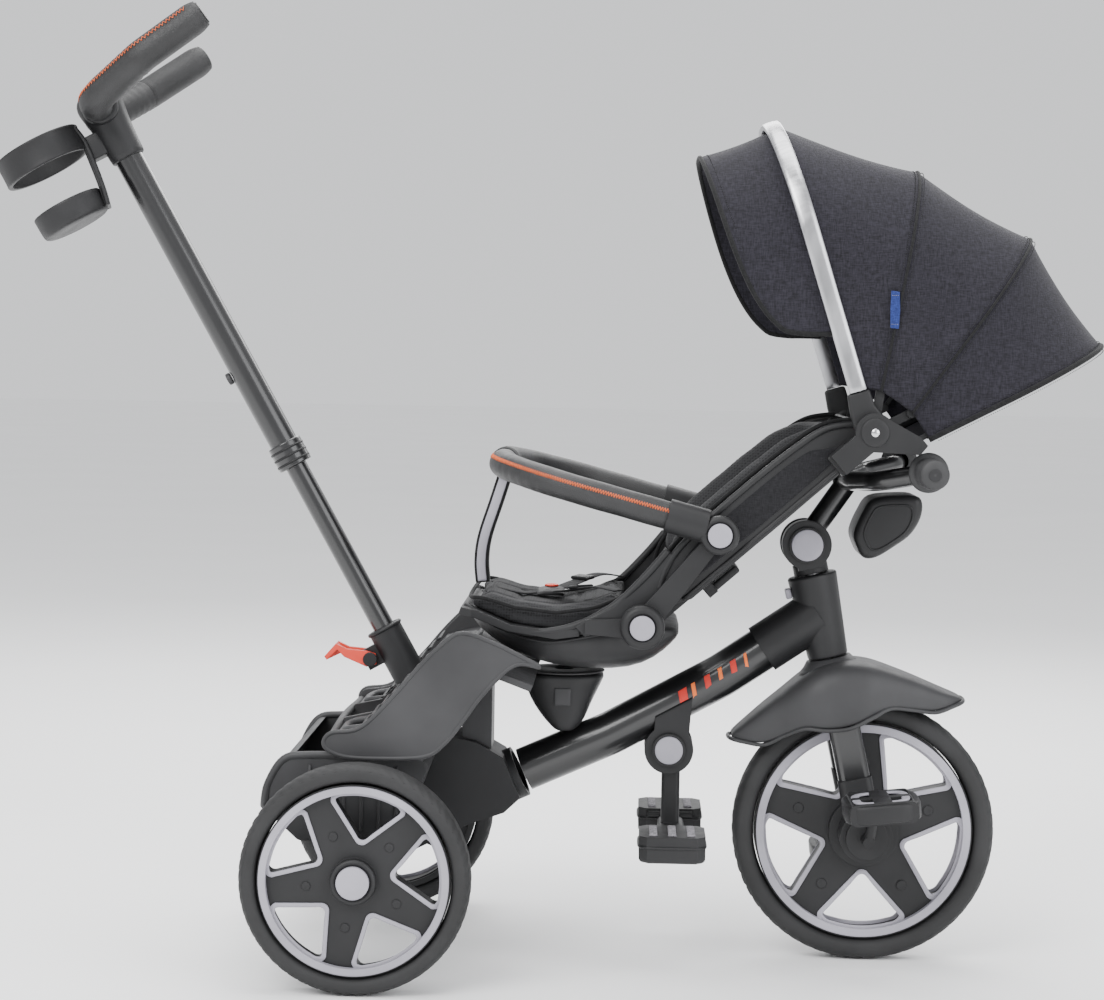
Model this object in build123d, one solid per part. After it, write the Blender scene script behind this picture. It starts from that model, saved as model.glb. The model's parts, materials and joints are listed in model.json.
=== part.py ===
from build123d import *
import math
import os

# Children's tricycle with a push handle, a swivelling reclining seat and a folding canopy.
# Millimetres. X runs forward from the rear axle, Y is across (the drive side is -Y), Z is up from the ground.
# At export everything moves back by ORIGIN_X, so the origin is at the bottom centre of the whole object.
ORIGIN_X = 186.0

# Wheels
REAR_R = 125.0
FRONT_R = 150.0
WHEELBASE = 561.5
TRACK_HALF = 225.0
REAR_TYRE_W = 40.0
FRONT_TYRE_W = 42.0
AXLE_R = 6.0
RUN = 0.05

# Steering axis: passes through the front axle, top leaning back
HEAD_LEAN = 12.4
STEERER_R = 9.0
HEAD_LOW = 203.0
HEAD_HIGH = 300.0
HUB_S = 335.6

# Push handle: lower end of its tube, and its lean from vertical
HANDLE_FOOT = (8.0, 368.0)
HANDLE_LEAN = 29.35
HANDLE_TWIST = 10.0
COLLAR_S = 217.0
BUTTON_S = 340.0
YOKE_S = 680.0

# Seat
SWIVEL_X = 215.0
RECLINE = (303.0, 395.0)
BACK_ANGLE = 41.3
BUMPER = (385.0, 497.0)
BACK_HALF = 138.0
SEAT_HALF = 140.0
ARM_Y = 160.0

# Canopy: hinge centre, and for each arch its foot and its crown in side view
HINGE = (549.0, 611.0)
CANOPY_HALF = 158.0
CLOTH = 2.5
BOW_FOOT, BOW_CROWN = (531.0, 655.0), (438.0, 947.0)
RIB1_FOOT, RIB1_CROWN = (556.0, 655.0), (603.0, 901.0)
RIB2_FOOT, RIB2_CROWN = (590.0, 632.0), (731.0, 828.0)
REAR_FOOT, REAR_CROWN = (609.0, 604.0), (813.0, 710.0)
VISOR_FOOT, VISOR_CROWN = (452.0, 700.0), (358.0, 914.0)

# Pivot of the lever at the foot of the push handle
LEVER = (-8.0, 336.0)

# Small footrest on the main tube
FOOTREST = (337.0, 240.0)


def steering_plane(s=0.0):
    lean = math.radians(HEAD_LEAN)
    up = Vector(-math.sin(lean), 0, math.cos(lean))
    origin = Vector(WHEELBASE, 0, FRONT_R) + up * s
    return Plane(origin=origin, x_dir=(math.cos(lean), 0, math.sin(lean)), z_dir=up)


def handle_plane(s=0.0, twist=0.0):
    lean = math.radians(HANDLE_LEAN)
    turn = math.radians(twist)
    up = Vector(-math.sin(lean), 0, math.cos(lean))
    origin = Vector(HANDLE_FOOT[0], 0, HANDLE_FOOT[1]) + up * s
    across = (math.cos(lean) * math.cos(turn), math.sin(turn), math.sin(lean) * math.cos(turn))
    return Plane(origin=origin, x_dir=across, z_dir=up)


def back_plane():
    # local x runs up the backrest, local z points to the child, local y is across
    a = math.radians(BACK_ANGLE)
    along = Vector(math.cos(a), 0, math.sin(a))
    return Plane(origin=(RECLINE[0], 0, RECLINE[1]), x_dir=along, z_dir=(-math.sin(a), 0, math.cos(a)))


def on(plane, shape):
    return shape.moved(plane.location)


def ycyl(r, y0, y1, x=0.0, z=0.0):
    return Pos(x, (y0 + y1) / 2, z) * Rot(90, 0, 0) * Cylinder(r, abs(y1 - y0))


def yring(r_out, r_in, y0, y1, x=0.0, z=0.0):
    return ycyl(r_out, y0, y1, x, z) - ycyl(r_in, min(y0, y1) - 1, max(y0, y1) + 1, x, z)


def side_slab(points, y0, y1):
    # a side-view outline, as (x, z) points, with straight walls from y0 to y1
    outline = Plane.XZ * make_face(Polyline(*points, close=True))
    slab = extrude(outline, amount=abs(y1 - y0))
    top = slab.bounding_box().max.Y
    return Pos(0, max(y0, y1) - top, 0) * slab


def rod(p, q, r):
    # a round bar between two points
    a, b = Vector(*p), Vector(*q)
    axis = Plane(origin=a, z_dir=b - a)
    return extrude(axis * Circle(r), amount=(b - a).length)


def tube_along(points, radii, r, r_in=0.0):
    # a tube of radius r along straight runs joined by arcs
    path = FilletPolyline(*points, radius=radii)
    start = Plane(origin=path @ 0, z_dir=path % 0)
    outer = sweep(start * Circle(r), path=path)
    if r_in:
        outer = outer - sweep(start * Circle(r_in), path=path)
    return outer


def mirror_y(shape):
    return mirror(shape, about=Plane.XZ)


def group(*shapes):
    # separate solids kept together in one node
    return Compound([solid for shape in shapes for solid in shape.solids()])


def both(make):
    # the same piece on the right (-1) and the left (+1)
    return group(make(-1), make(1))


def pair(shape):
    return Compound([*shape.solids(), *mirror_y(shape).solids()])


# ---- wheels: built about the origin with the axle along Y, then placed ----
def tyre(r, width):
    depth = 0.165 * r
    profile = Pos(r - depth / 2, 0) * RectangleRounded(depth, width, depth * 0.42)
    return revolve(profile, Axis.Y)


def window(r_tip, r_rim, half_deg, angle, tip_round=7.0):
    # one fan-shaped hole between two spokes, drawn in the wheel's plane
    reach = r_rim * 1.3
    a = math.radians(half_deg)
    side = (reach * math.cos(a), reach * math.sin(a))
    fan = make_face(Polyline((r_tip, 0), side, (side[0], -side[1]), close=True)) & Circle(r_rim)
    fan = fillet(fan.vertices(), tip_round)
    return Rot(0, 0, angle) * fan


def fans(r_tip, r_rim, half_deg, first, tip_round=7.0):
    return Sketch() + [window(r_tip, r_rim, half_deg, first + 72 * k, tip_round) for k in range(5)]


def wheel_plane(y):
    return Plane(origin=(0, y, 0), x_dir=(1, 0, 0), z_dir=(0, -1, 0))


def rim(r, width, hub_r, bore_r, r_tip, first):
    # a moulded five-spoke wheel: rim band, star and hub
    seat = r * 0.83
    inner = r * 0.775
    band = yring(seat, inner, -width * 0.42, width * 0.42)
    star = ycyl(inner + 1, -11, 11)
    cut = extrude(wheel_plane(30) * fans(r_tip, inner - 1.5, 29.5, first), amount=60)
    hub = ycyl(hub_r, -width * 0.5 - 4, width * 0.5 + 4)
    return (band + (star - cut) + hub) - ycyl(bore_r, -60, 60)


def rim_trim(r, r_tip, first, width, out):
    # the light inlay: a ring on the rim's edge and a line round each hole, on the side that out points to
    inner = r * 0.775
    edge = width * 0.42
    lines = fans(r_tip - 5.5, inner - 0.3, 29.5 + 2.2, first, 8.0)
    lines = lines - fans(r_tip + 0.6, inner - 2.4, 29.0, first, 6.5)
    flat = extrude(wheel_plane(out * 11.0) * lines, amount=-2.0 * out)
    liner = yring(inner - 0.1, inner - 2.6, out * 11.0, out * (edge + 2.0))
    lip = yring(inner + r * 0.042, inner - 0.2, out * edge, out * (edge + 2.0))
    return flat + liner + lip


def rear_wheel(side):
    at = Pos(0, side * TRACK_HALF, REAR_R)
    first = 8.0
    r_tip = 41.0
    made = {}
    made["tyre"] = at * tyre(REAR_R, REAR_TYRE_W)
    body = rim(REAR_R, REAR_TYRE_W, 24.0, AXLE_R + RUN, r_tip, first)
    made["rim"] = at * (body - tyre(REAR_R, REAR_TYRE_W))
    made["trim"] = at * rim_trim(REAR_R, r_tip, first, REAR_TYRE_W, side)
    cap_y = side * (REAR_TYRE_W / 2 + 4)
    made["cap"] = at * ycyl(17.7, cap_y, cap_y + side * 5)
    return made


def front_wheel():
    at = Pos(WHEELBASE, 0, FRONT_R)
    first = -18.0
    made = {}
    made["front_tyre"] = at * tyre(FRONT_R, FRONT_TYRE_W)
    body = rim(FRONT_R, FRONT_TYRE_W, 40.0, 7.0, 47.0, first)
    made["front_rim"] = at * (body - tyre(FRONT_R, FRONT_TYRE_W))
    made["front_trim"] = at * group(*[rim_trim(FRONT_R, 47.0, first, FRONT_TYRE_W, s) for s in (-1, 1)])
    return made


CRANK = 50.0
CRANK_LEAN = 8.0
PEDAL_Y = 143.0


def pedal_centre(side):
    a = math.radians(CRANK_LEAN)
    sign = 1 if side < 0 else -1
    return (WHEELBASE + sign * CRANK * math.sin(a), FRONT_R + sign * CRANK * math.cos(a))


def crank():
    # one axle through the front wheel with an arm and a pedal spindle at each end
    x0, z0 = WHEELBASE, FRONT_R
    made = ycyl(6.95, -92, 92, x0, z0)
    for side in (-1, 1):
        x1, z1 = pedal_centre(side)
        arm = rod((x0, side * 86, z0), (x1, side * 91, z1), 6.0)
        made = made + arm + ycyl(5.0, side * 86, side * 178, x1, z1) + ycyl(9, side * 82, side * 98, x1, z1)
    return made


def pedal(side):
    x, z = pedal_centre(side)
    block = Pos(x, side * PEDAL_Y, z) * Rot(0, -6, 0) * (
        fillet(Box(74, 84, 24).edges().filter_by(Axis.Y), 8)
    )
    deck = Pos(x, side * PEDAL_Y, z) * Rot(0, -6, 0) * Box(80, 90, 30)
    holes = [Pos(dx, dy, 0) * Box(22, 30, 40) for dx in (-21, 21) for dy in (-21, 21)]
    cut = Pos(x, side * PEDAL_Y, z) * Rot(0, -6, 0) * (Part() + holes)
    body = (block & deck) - cut + ycyl(9, side * 101, side * 185, x, z)
    return body - ycyl(5.0 + RUN, side * 90, side * 181, x, z)


# ---- frame ----
def main_tube():
    points = [(171, 0, 210), (269, 0, 254), (395, 0, 323), (455, 0, 364)]
    return tube_along(points, 180, 25, 22.5)


def head_shell():
    # tapered moulding round the head tube with a sleeve for the main tube
    h = HEAD_HIGH - HEAD_LOW
    cone = Pos(0, 0, HEAD_LOW + h / 2) * Cone(23, 28.5, h)
    cone = on(steering_plane(), fillet(cone.edges().filter_by(GeomType.CIRCLE), 3))
    sleeve = rod((442, 0, 355.1), (505, 0, 398), 28.5)
    made = cone + sleeve
    made = made - rod((430, 0, 346.9), (466, 0, 371.5), 25.3)
    pocket = on(steering_plane(HEAD_HIGH - 17), Pos(-30, 0, 0) * Box(13, 13, 13))
    return made - pocket - on(steering_plane(HEAD_LOW - 5), Pos(0, 0, 55) * Cylinder(16.6, 120))


def head_tube():
    # steel tube with a bearing ring near each end
    h = HEAD_HIGH - HEAD_LOW - 2
    tube = on(steering_plane(HEAD_LOW + 1), Pos(0, 0, h / 2) * (Cylinder(16.5, h) - Cylinder(14.1, h + 2)))
    races = []
    for s in (HEAD_LOW + 8, HEAD_HIGH - 8):
        races.append(on(steering_plane(s), Cylinder(14.0, 8) - Cylinder(STEERER_R + RUN, 10)))
    return group(tube, *races)


def lock_button():
    return on(steering_plane(HEAD_HIGH - 17), Pos(-30.5, 0, 0) * fillet(Box(7, 12, 12).edges(), 2))


def yoke_block(y0, y1):
    outline = [(168, 183), (148, 229), (118, 246), (92, 252), (60, 235), (-12, 160), (-22, 125), (0, 103)]
    outline = outline + [(30, 112), (110, 152), (150, 166)]
    return side_slab(outline, y0, y1)


def rear_yoke():
    # casting that joins the main tube to the rear axle beam, under the foot platform
    body = yoke_block(-42, 42)
    body = body + rod((138, 0, 195.3), (166, 0, 208), 30)
    body = body - rod((150, 0, 200.7), (200, 0, 223.4), 25.3)
    body = body - ycyl(16.1, -60, 60, 0, REAR_R)
    foot = on(handle_plane(-122), Cylinder(16.2, 62))
    return body - foot


def rear_axle():
    # cross tube under the yoke with the wheel axle through it
    beam = ycyl(16, -196, 196, 0, REAR_R) - ycyl(AXLE_R + 0.2, -200, 200, 0, REAR_R)
    return group(beam, ycyl(AXLE_R, -246, 246, 0, REAR_R))


def handle_socket():
    # sleeve that holds the push handle's lower tube, with a stub down into the yoke
    sleeve = Pos(0, 0, -36) * Cylinder(19.5, 80)
    stub = Pos(0, 0, -106) * Cylinder(16, 62)
    lug = Pos(-27, 0, -20) * Box(20, 16, 24)
    made = sleeve + stub + lug
    body = on(handle_plane(), made - Pos(0, 0, -26) * Cylinder(12.55, 70)) - ycyl(3.05, -60, 60, *LEVER)
    pin = ycyl(3.0, -19, 19, *LEVER) + ycyl(8, -20, -16.5, *LEVER) + ycyl(8, 16.5, 20, *LEVER)
    return group(body, pin)


PLATFORM_HALF = 186.0


def foot_platform():
    # wide moulding behind the seat: a shelf, a slope and two foot loops, between two deep side flanges
    flange = [(110, 386), (175, 361), (192, 353), (172, 355), (155, 346), (129, 318), (107, 287), (91, 268)]
    flange = flange + [(69, 252), (16, 252), (-22, 253), (-39, 261), (-32, 274), (0, 281), (36, 317), (66, 352)]
    flange = flange + [(92, 372)]
    walls = side_slab(flange, -PLATFORM_HALF, PLATFORM_HALF)
    walls = walls - Box(900, 2 * PLATFORM_HALF - 18, 900)
    deck_line = [(186, 331), (114, 357), (94, 353), (68, 346), (38, 312), (2, 276), (-30, 270), (-37, 261)]
    deck_line = deck_line + [(-33, 256), (-26, 263), (6, 269), (44, 306), (72, 339), (96, 346), (112, 350), (183, 324)]
    deck = side_slab(deck_line, -PLATFORM_HALF + 5, PLATFORM_HALF - 5)
    middle = Pos(10, 0, 300) * Box(150, 104, 160)
    cheeks = Part() + [side_slab(flange, s * 52, s * 58) & Pos(-2, 0, 270) * Box(80, 200, 60) for s in (-1, 1)]
    loops = [Pos(-1, y * 118, 265) * extrude(RectangleRounded(42, 62, 14), amount=40, both=True) for y in (-1, 1)]
    corners = [Pos(-39, y * 186, 265) * Rot(0, 0, 45) * Box(30, 30, 80) for y in (-1, 1)]
    deck = deck - Pos(SWIVEL_X, 0, 330) * Cylinder(60, 60)
    made = walls + deck - middle + cheeks - (Part() + loops) - (Part() + corners)
    post = side_slab([(100, 235), (134, 235), (134, 346), (112, 352), (100, 349)], -30, 30)
    return made + (post - yoke_block(-42, 42) - handle_clear())


def handle_clear():
    return on(handle_plane(-60), Cylinder(22, 160))


def basket():
    # storage tub between the rear wheels, open at the top
    outline = [(-112, 190), (-106, 215), (-86, 243), (-66, 245), (70, 245), (70, 230), (40, 152), (-70, 152)]
    outside = side_slab(outline, -160, 160)
    outside = fillet(outside.edges().filter_by(Axis.Y), 9)
    inside_line = [(-106, 192), (-100, 212), (-84, 238), (-60, 260), (60, 260), (60, 232), (34, 157), (-66, 157)]
    inside = side_slab(inside_line, -155, 155)
    made = outside - inside
    yoke_room = side_slab([(200, 90), (200, 260), (60, 262), (30, 240), (-28, 170), (-34, 90)], -45, 45)
    return made - yoke_room


def seat_pedestal():
    # tapered post that stands on the main tube and carries the swivel
    outline = [(167, 322), (178, 295), (195, 269), (207, 257), (226, 257), (240, 268), (262, 322)]
    body = side_slab(outline, -34, 34)
    body = fillet(body.edges().filter_by(Axis.Y), 5)
    saddle = tube_along([(165, 0, 207.5), (269, 0, 254), (330, 0, 287)], 180, 25.2)
    plate = Pos(SWIVEL_X, 0, 325.2) * Cylinder(46, 5.6) - Pos(SWIVEL_X, 0, 322) * Cylinder(11.05, 20)
    body = body - saddle - Pos(SWIVEL_X, 0, 322) * Cylinder(11.05, 20)
    return group(body, plate)


def footrest_bracket():
    # clip round the underside of the main tube that carries the small footrest
    x, z = FOOTREST
    ears = Part() + [ycyl(28, s * 17, s * 25, x, z) for s in (-1, 1)]
    web = side_slab([(x - 18, z + 8), (x - 16, z + 42), (x + 26, z + 62), (x + 22, z + 8)], -25, 25)
    web = web - side_slab([(x - 40, z - 40), (x - 40, z + 29.5), (x + 40, z + 29.5), (x + 40, z - 40)], -16.9, 16.9)
    made = (ears + web) - tube_along([(269, 0, 254), (330, 0, 287), (395, 0, 323), (455, 0, 364)], 180, 25.2)
    pin = ycyl(5.95, -31, 31, x, z) + ycyl(19, -30, -26, x, z) + ycyl(19, 26, 30, x, z)
    return group(made - ycyl(6.0, -40, 40, x, z), pin)


PAD_HINGE = (51.5, 152.0)


def footrest_stem():
    x, z = FOOTREST
    stem = Pos(x + 3, 0, 184) * extrude(RectangleRounded(21, 26, 5), amount=42, both=True)
    head = ycyl(18.2, -16.5, 16.5, x, z)
    cross = ycyl(9, -52, 52, x + 4, 137)
    foot = Pos(x + 4, 0, 140) * fillet(Box(30, 60, 26).edges(), 4)
    made = stem + head + cross + foot
    for side in (-1, 1):
        made = made + Pos(x + 4, side * 39, 147.5) * Box(24, 25, 5)
        made = made + rod((x - 22, side * PAD_HINGE[0], PAD_HINGE[1]), (x + 30, side * PAD_HINGE[0], PAD_HINGE[1]), 3.5)
    return made - ycyl(5.95 + RUN, -40, 40, x, z)


def foot_pad(side):
    x = FOOTREST[0] + 4
    pad = Pos(x, side * 91.2, 143) * Box(74, 76, 30)
    pad = chamfer(pad.edges().filter_by(Axis.Z), 9)
    pad = fillet(pad.faces().sort_by(Axis.Z)[0].edges(), 6)
    hinge = rod((x - 50, side * PAD_HINGE[0], PAD_HINGE[1]), (x + 50, side * PAD_HINGE[0], PAD_HINGE[1]), 3.5 + RUN)
    return pad - hinge


# ---- fork and handlebar ----


LEG_Y = 46.0


def fork_crown():
    # bridge between the legs with the steerer welded into it
    body = Pos(0, 0, 169) * fillet(Box(42, 106, 20).edges(), 6)
    ends = [Pos(0, s * LEG_Y, 164) * Box(34, 18, 14) for s in (-1, 1)]
    stalk = Pos(0, 0, 236) * Cylinder(STEERER_R, 139.6)
    return on(steering_plane(), body + (Part() + ends) + stalk)


def fork_leg(side):
    leg = Pos(0, side * LEG_Y, 112) * extrude(RectangleRounded(36, 18, 8), amount=44.9, both=True)
    return on(steering_plane(), leg)


def fork_end(side):
    # lower sleeve with a round cover over the end of the wheel axle
    sleeve = Pos(0, side * LEG_Y, 38) * extrude(RectangleRounded(39, 24, 9), amount=29, both=True)
    boss = ycyl(30, side * 31, side * 60, 0, 0)
    dome = Pos(0, side * 56, 0) * Rot(90, 0, 0) * Cylinder(24, 26)
    made = on(steering_plane(), sleeve) + Pos(WHEELBASE, 0, FRONT_R) * (boss + dome)
    made = made - Pos(WHEELBASE, 0, FRONT_R) * ycyl(130, side * 10, side * 28)
    return made - Pos(WHEELBASE, 0, FRONT_R) * ycyl(7.0, -100, 100)


def fender():
    # mudguard with deep skirts that cover the tops of the fork legs, and a neck up to the head
    outline = [(407, 257), (451, 251), (466, 263), (497, 273), (522, 270), (560, 281), (573, 296), (604, 294)]
    outline = outline + [(639, 290), (670, 308), (628, 328), (581, 341), (505, 341), (484, 320)]
    room = [(411, 251), (488, 314), (508, 335.5), (580, 335.5), (626, 322), (668, 303), (690, 280), (690, 200)]
    room = room + [(380, 200), (380, 240)]
    plan = [(400, -30), (470, -40), (503, -60), (580, -60), (600, -44), (680, -32), (680, 32), (600, 44)]
    plan = plan + [(580, 60), (503, 60), (470, 40), (400, 30)]
    inside = [(x, y - math.copysign(5, y)) for x, y in plan]
    outer = side_slab(outline, -60, 60) & extrude(Pos(0, 0, 200) * make_face(Polyline(*plan, close=True)), amount=200)
    inner = side_slab(room, -60, 60) & extrude(Pos(0, 0, 190) * make_face(Polyline(*inside, close=True)), amount=200)
    neck = on(steering_plane(), Pos(0, 0, 191) * Cone(34, 23, 23))
    neck = neck - side_slab(room, -60, 60)
    return (outer - inner) + neck - on(steering_plane(), Pos(0, 0, 190) * Cylinder(STEERER_R + 0.3, 60))


def stem_clamp():
    # neck on the steerer with two cheeks that hold the handlebar's knuckle
    neck = Pos(0, 0, 307) * Cylinder(20, 11) + Pos(0, 0, 316) * Box(30, 52, 16)
    cheeks = Part() + [ycyl(28, s * 14, s * 26, 0, HUB_S) for s in (-1, 1)]
    slot = ycyl(28.5, -13.9, 13.9, 0, HUB_S)
    made = (neck - slot) + cheeks - Pos(0, 0, 300) * Cylinder(STEERER_R, 12.4)
    pin = ycyl(5.95, -26, 26, 0, HUB_S)
    caps = [ycyl(20.5, s * 26.2, s * 30, 0, HUB_S) for s in (-1, 1)]
    return on(steering_plane(), group(made - ycyl(6.0, -60, 60, 0, HUB_S), pin, *caps))


BAR_END = (610.0, 207.0, 568.0)


def bar_half(r):
    points = [(533, 0, 551), (537, 50, 553), (560, 112, 556), (606, 140, 566), (610, 206, 568)]
    return tube_along(points, [40, 40, 22], r)


def handlebar():
    # knuckle, short stem and swept bar, welded into one
    half = bar_half(11.0)
    knuckle = on(steering_plane(), ycyl(27, -13.5, 13.5, 0, HUB_S))
    stem = rod((500, 0, 497.5), (533, 0, 546), 12.8)
    made = half + mirror_y(half) + Pos(533, 0, 551) * Sphere(14.5) + knuckle + stem
    return made - on(steering_plane(), ycyl(5.95 + RUN, -30, 30, 0, HUB_S))


def grip():
    x, _, z = BAR_END
    sleeve = ycyl(16.5, 150, 210, x, z) + ycyl(18.6, 148, 155, x - 0.3, z)
    return sleeve - bar_half(11.1)


def pod():
    # shield below the bar, hollow and open towards the rider
    outline = [(551, 531), (562, 505), (556, 470), (566, 464), (600, 480), (616, 500), (618, 530), (600, 538), (572, 538)]
    body = side_slab(outline, -44, 44)
    body = fillet(body.edges().filter_by(Axis.Y), 5)
    body = fillet(body.faces().sort_by(Axis.Y)[0].edges() + body.faces().sort_by(Axis.Y)[-1].edges(), 4)
    hollow = side_slab([(500, 528), (566, 528), (578, 500), (560, 482), (500, 470)], -36, 36)
    return body - hollow


# ---- push handle, built along its own tube ----
def lower_tube():
    return on(handle_plane(), Pos(0, 0, 190) * (Cylinder(12.5, 500) - Cylinder(10.8, 502)))


def collar():
    # lock collar at the lower end of the sliding tube
    ring = Pos(0, 0, COLLAR_S + 14) * fillet(Cylinder(20, 30).edges(), 2)
    return on(handle_plane(), ring - Cylinder(12.6, 800) - Pos(0, 0, COLLAR_S + 30) * Cylinder(16.9, 32))


def upper_tube():
    length = YOKE_S - 30 - COLLAR_S - 16
    tube = Cylinder(16.4, length) - Cylinder(12.6, length + 2)
    tube = Pos(0, 0, COLLAR_S + 16 + length / 2) * tube
    hole = Pos(-16, 0, BUTTON_S) * Rot(0, 90, 0) * Cylinder(7.4, 12)
    return on(handle_plane(), tube - hole)


def handle_yoke():
    # tee moulding: a sleeve on the tube and two stubs the grips slide over
    sleeve = Pos(0, 0, YOKE_S - 48) * Cone(19, 25, 66)
    hub = Pos(-2, 0, YOKE_S) * Sphere(27)
    arms = tube_along(grip_route(), GRIP_RADII, 10.5)
    arms = arms + mirror_y(arms)
    made = sleeve + hub + arms
    made = made - Pos(0, 0, YOKE_S - 65) * Cylinder(16.45, 70.2)
    return on(handle_plane(0, HANDLE_TWIST), made)


GRIP_RADII = [38, 34]


def grip_route():
    return [(-2, -10, YOKE_S), (-8, -66, YOKE_S + 1), (62, -112, YOKE_S + 12), (142, -124, YOKE_S + 22)]


def handle_grip(side):
    route = grip_route()
    sleeve = tube_along(route, GRIP_RADII, 18.2)
    core = tube_along(route, GRIP_RADII, 10.6)
    end = Pos(142, -124, YOKE_S + 22) * Sphere(18.2)
    made = sleeve + end - core - Pos(-2, 0, YOKE_S) * Sphere(27.3) - Pos(0, 0, YOKE_S - 48) * Cylinder(25.4, 68)
    made = max(made.solids(), key=lambda s: s.volume)
    if side > 0:
        made = mirror_y(made)
    return on(handle_plane(0, HANDLE_TWIST), made)


def cup_holder():
    # ring above a shallow cup, joined by a spine that clips round the tube
    ring = Pos(-86, 0, 662) * (Cylinder(51, 32) - Cylinder(45, 34))
    cup = Pos(-88, 0, 588) * Cylinder(41, 28) - Pos(-88, 0, 593) * Cylinder(37, 28)
    spine = Pos(-37.4, 0, 622) * Box(6, 40, 110)
    arm = Pos(-26.9, 0, 640) * Box(27, 26, 26)
    tongue = Pos(-44, 0, 582) * Box(14, 34, 16)
    made = ring + cup + spine + arm + tongue
    made = made - Pos(-86, 0, 662) * Cylinder(45, 34) - Pos(0, 0, YOKE_S - 48) * Cone(19.4, 25.4, 66.4)
    made = max(made.solids(), key=lambda part: part.volume)
    return on(handle_plane(0, HANDLE_TWIST), made)


def height_button():
    x0 = -19.5
    return on(handle_plane(), Pos(x0, 0, BUTTON_S) * Rot(0, 90, 0) * fillet(Cylinder(7, 5).edges(), 1))


def quick_release():
    # red curved lever beside the handle socket
    x, z = LEVER
    a = math.radians(HANDLE_LEAN)
    outline = [(x + 7, z - 6), (x - 4, z - 9), (x - 30, z + 2), (x - 38, z + 10), (x - 50, z - 2)]
    outline = outline + [(x - 53, z + 2), (x - 40, z + 17), (x - 27, z + 11), (x - 4, z + 9), (x + 6, z + 6)]
    body = side_slab(outline, -15.5, -9.2) + side_slab(outline, 9.2, 15.5)
    bridge = side_slab([(x - 53, z + 2), (x - 50, z - 2), (x - 34, z + 6), (x - 34, z + 11), (x - 40, z + 17)], -10, 10)
    return body + bridge - ycyl(3.05, -60, 60, x, z)


# ---- seat ----
def seat_base():
    # bucket shell under the seat; narrow enough below to turn between the platform's flanges
    outline = [(110, 398), (124, 375), (160, 350), (199, 337), (250, 332), (293, 334), (325, 352), (346, 378)]
    outline = outline + [(350, 402), (300, 398), (275, 386), (208, 376), (155, 384), (118, 398)]
    outside = side_slab(outline, -SEAT_HALF + 12, SEAT_HALF - 12)
    front = Plane.YZ * make_face(Polyline((-60, 331), (60, 331), (128, 372), (128, 410), (-128, 410), (-128, 372), close=True))
    taper = Pos(80, 0, 0) * extrude(front, amount=300)
    outside = outside & taper & Pos(SWIVEL_X, 0, 370) * Cylinder(176, 120)
    outside = outside - Pos(340, 0, 420) * Rot(0, -41.3, 0) * Box(60, 300, 60)
    return outside + Pos(SWIVEL_X, 0, 328) * Cylinder(11.0, 28)


def seat_pan():
    # shaped tray on the shell; the cushion lies in it
    outline = [(100, 402), (118, 399), (155, 385), (208, 377), (275, 387), (300, 399.5), (312, 418)]
    outline = outline + [(305, 424), (294, 408), (270, 396), (208, 385), (158, 392), (122, 407), (103, 410)]
    tray = side_slab(outline, -SEAT_HALF, SEAT_HALF) - arm_room()
    return tray & Pos(SWIVEL_X - 4, 0, 400) * Cylinder(170, 120)


def arm_room():
    # beside the rear of the seat, where the side arms and the backrest's ears pass
    return Part() + [Pos(300, s * 160, 400) * Box(132, 64.2, 120) for s in (-1, 1)]


def seat_cushion():
    outline = [(106, 411), (124, 408), (160, 393.5), (208, 386.5), (268, 397), (289, 408), (284, 424)]
    outline = outline + [(262, 414), (208, 403), (162, 409), (128, 421), (110, 420)]
    pad = side_slab(outline, -SEAT_HALF + 10, SEAT_HALF - 10)
    return (pad & Pos(SWIVEL_X - 4, 0, 400) * Cylinder(160, 120)) - arm_room()


def side_arm(side):
    # carries the bumper bar: from the recline joint up to the bar's pivot
    a, b = RECLINE, BUMPER
    y0, y1 = side * 149, side * 157
    length = math.dist(a, b)
    nx, nz = -(b[1] - a[1]) / length, (b[0] - a[0]) / length
    strip = [(a[0] + 14 * nx, a[1] + 14 * nz), (a[0] - 14 * nx, a[1] - 14 * nz)]
    strip = strip + [(b[0] - 9 * nx, b[1] - 9 * nz), (b[0] + 9 * nx, b[1] + 9 * nz)]
    arm = side_slab(strip, y0, y1)
    disc = ycyl(24, side * 141.5, side * 170, *a) + ycyl(20, y0, y1, *b)
    bridge = side_slab([(240, 384), (300, 380), (300, 404), (240, 400)], side * 141.5, side * 149)
    foot = side_slab([(240, 384), (270, 384), (270, 400), (240, 400)], side * 128.1, side * 141.6)
    made = arm + disc + bridge + foot
    pin = ycyl(5.95, side * 129, side * 170.2, *a) + ycyl(14, side * 170.1, side * 175, *a)
    made = made - ycyl(6.0, side * 100, side * 200, *a) - ycyl(6.0, side * 100, side * 200, *b)
    return group(made, pin)


# ---- backrest: local x up the back, local z towards the child ----
def back_shell():
    # moulded shell behind the padding, with ears for the recline pins and for the lever
    outline = Pos(184, 0, 4) * Box(278, 2 * BACK_HALF, 36)
    outline = fillet(outline.edges().filter_by(Axis.Z), 22)
    outline = fillet(outline.faces().sort_by(Axis.Z)[0].edges(), 13)
    shell = outline - Pos(186, 0, 22) * Box(268, 2 * BACK_HALF - 12, 56)
    tabs = [Pos(28, s * 134.8, 0) * Box(84, 6.4, 24) for s in (-1, 1)]
    ears = [Pos(78, s * 33, -23) * Box(12, 8, 24) for s in (-1, 1)]
    pivot = Pos(78, 0, -30) * Rot(90, 0, 0) * Cylinder(3.0, 74)
    made = on(back_plane(), shell + (Part() + tabs) + (Part() + ears) + pivot)
    return made - ycyl(5.95 + RUN, -200, 200, *RECLINE)


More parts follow.
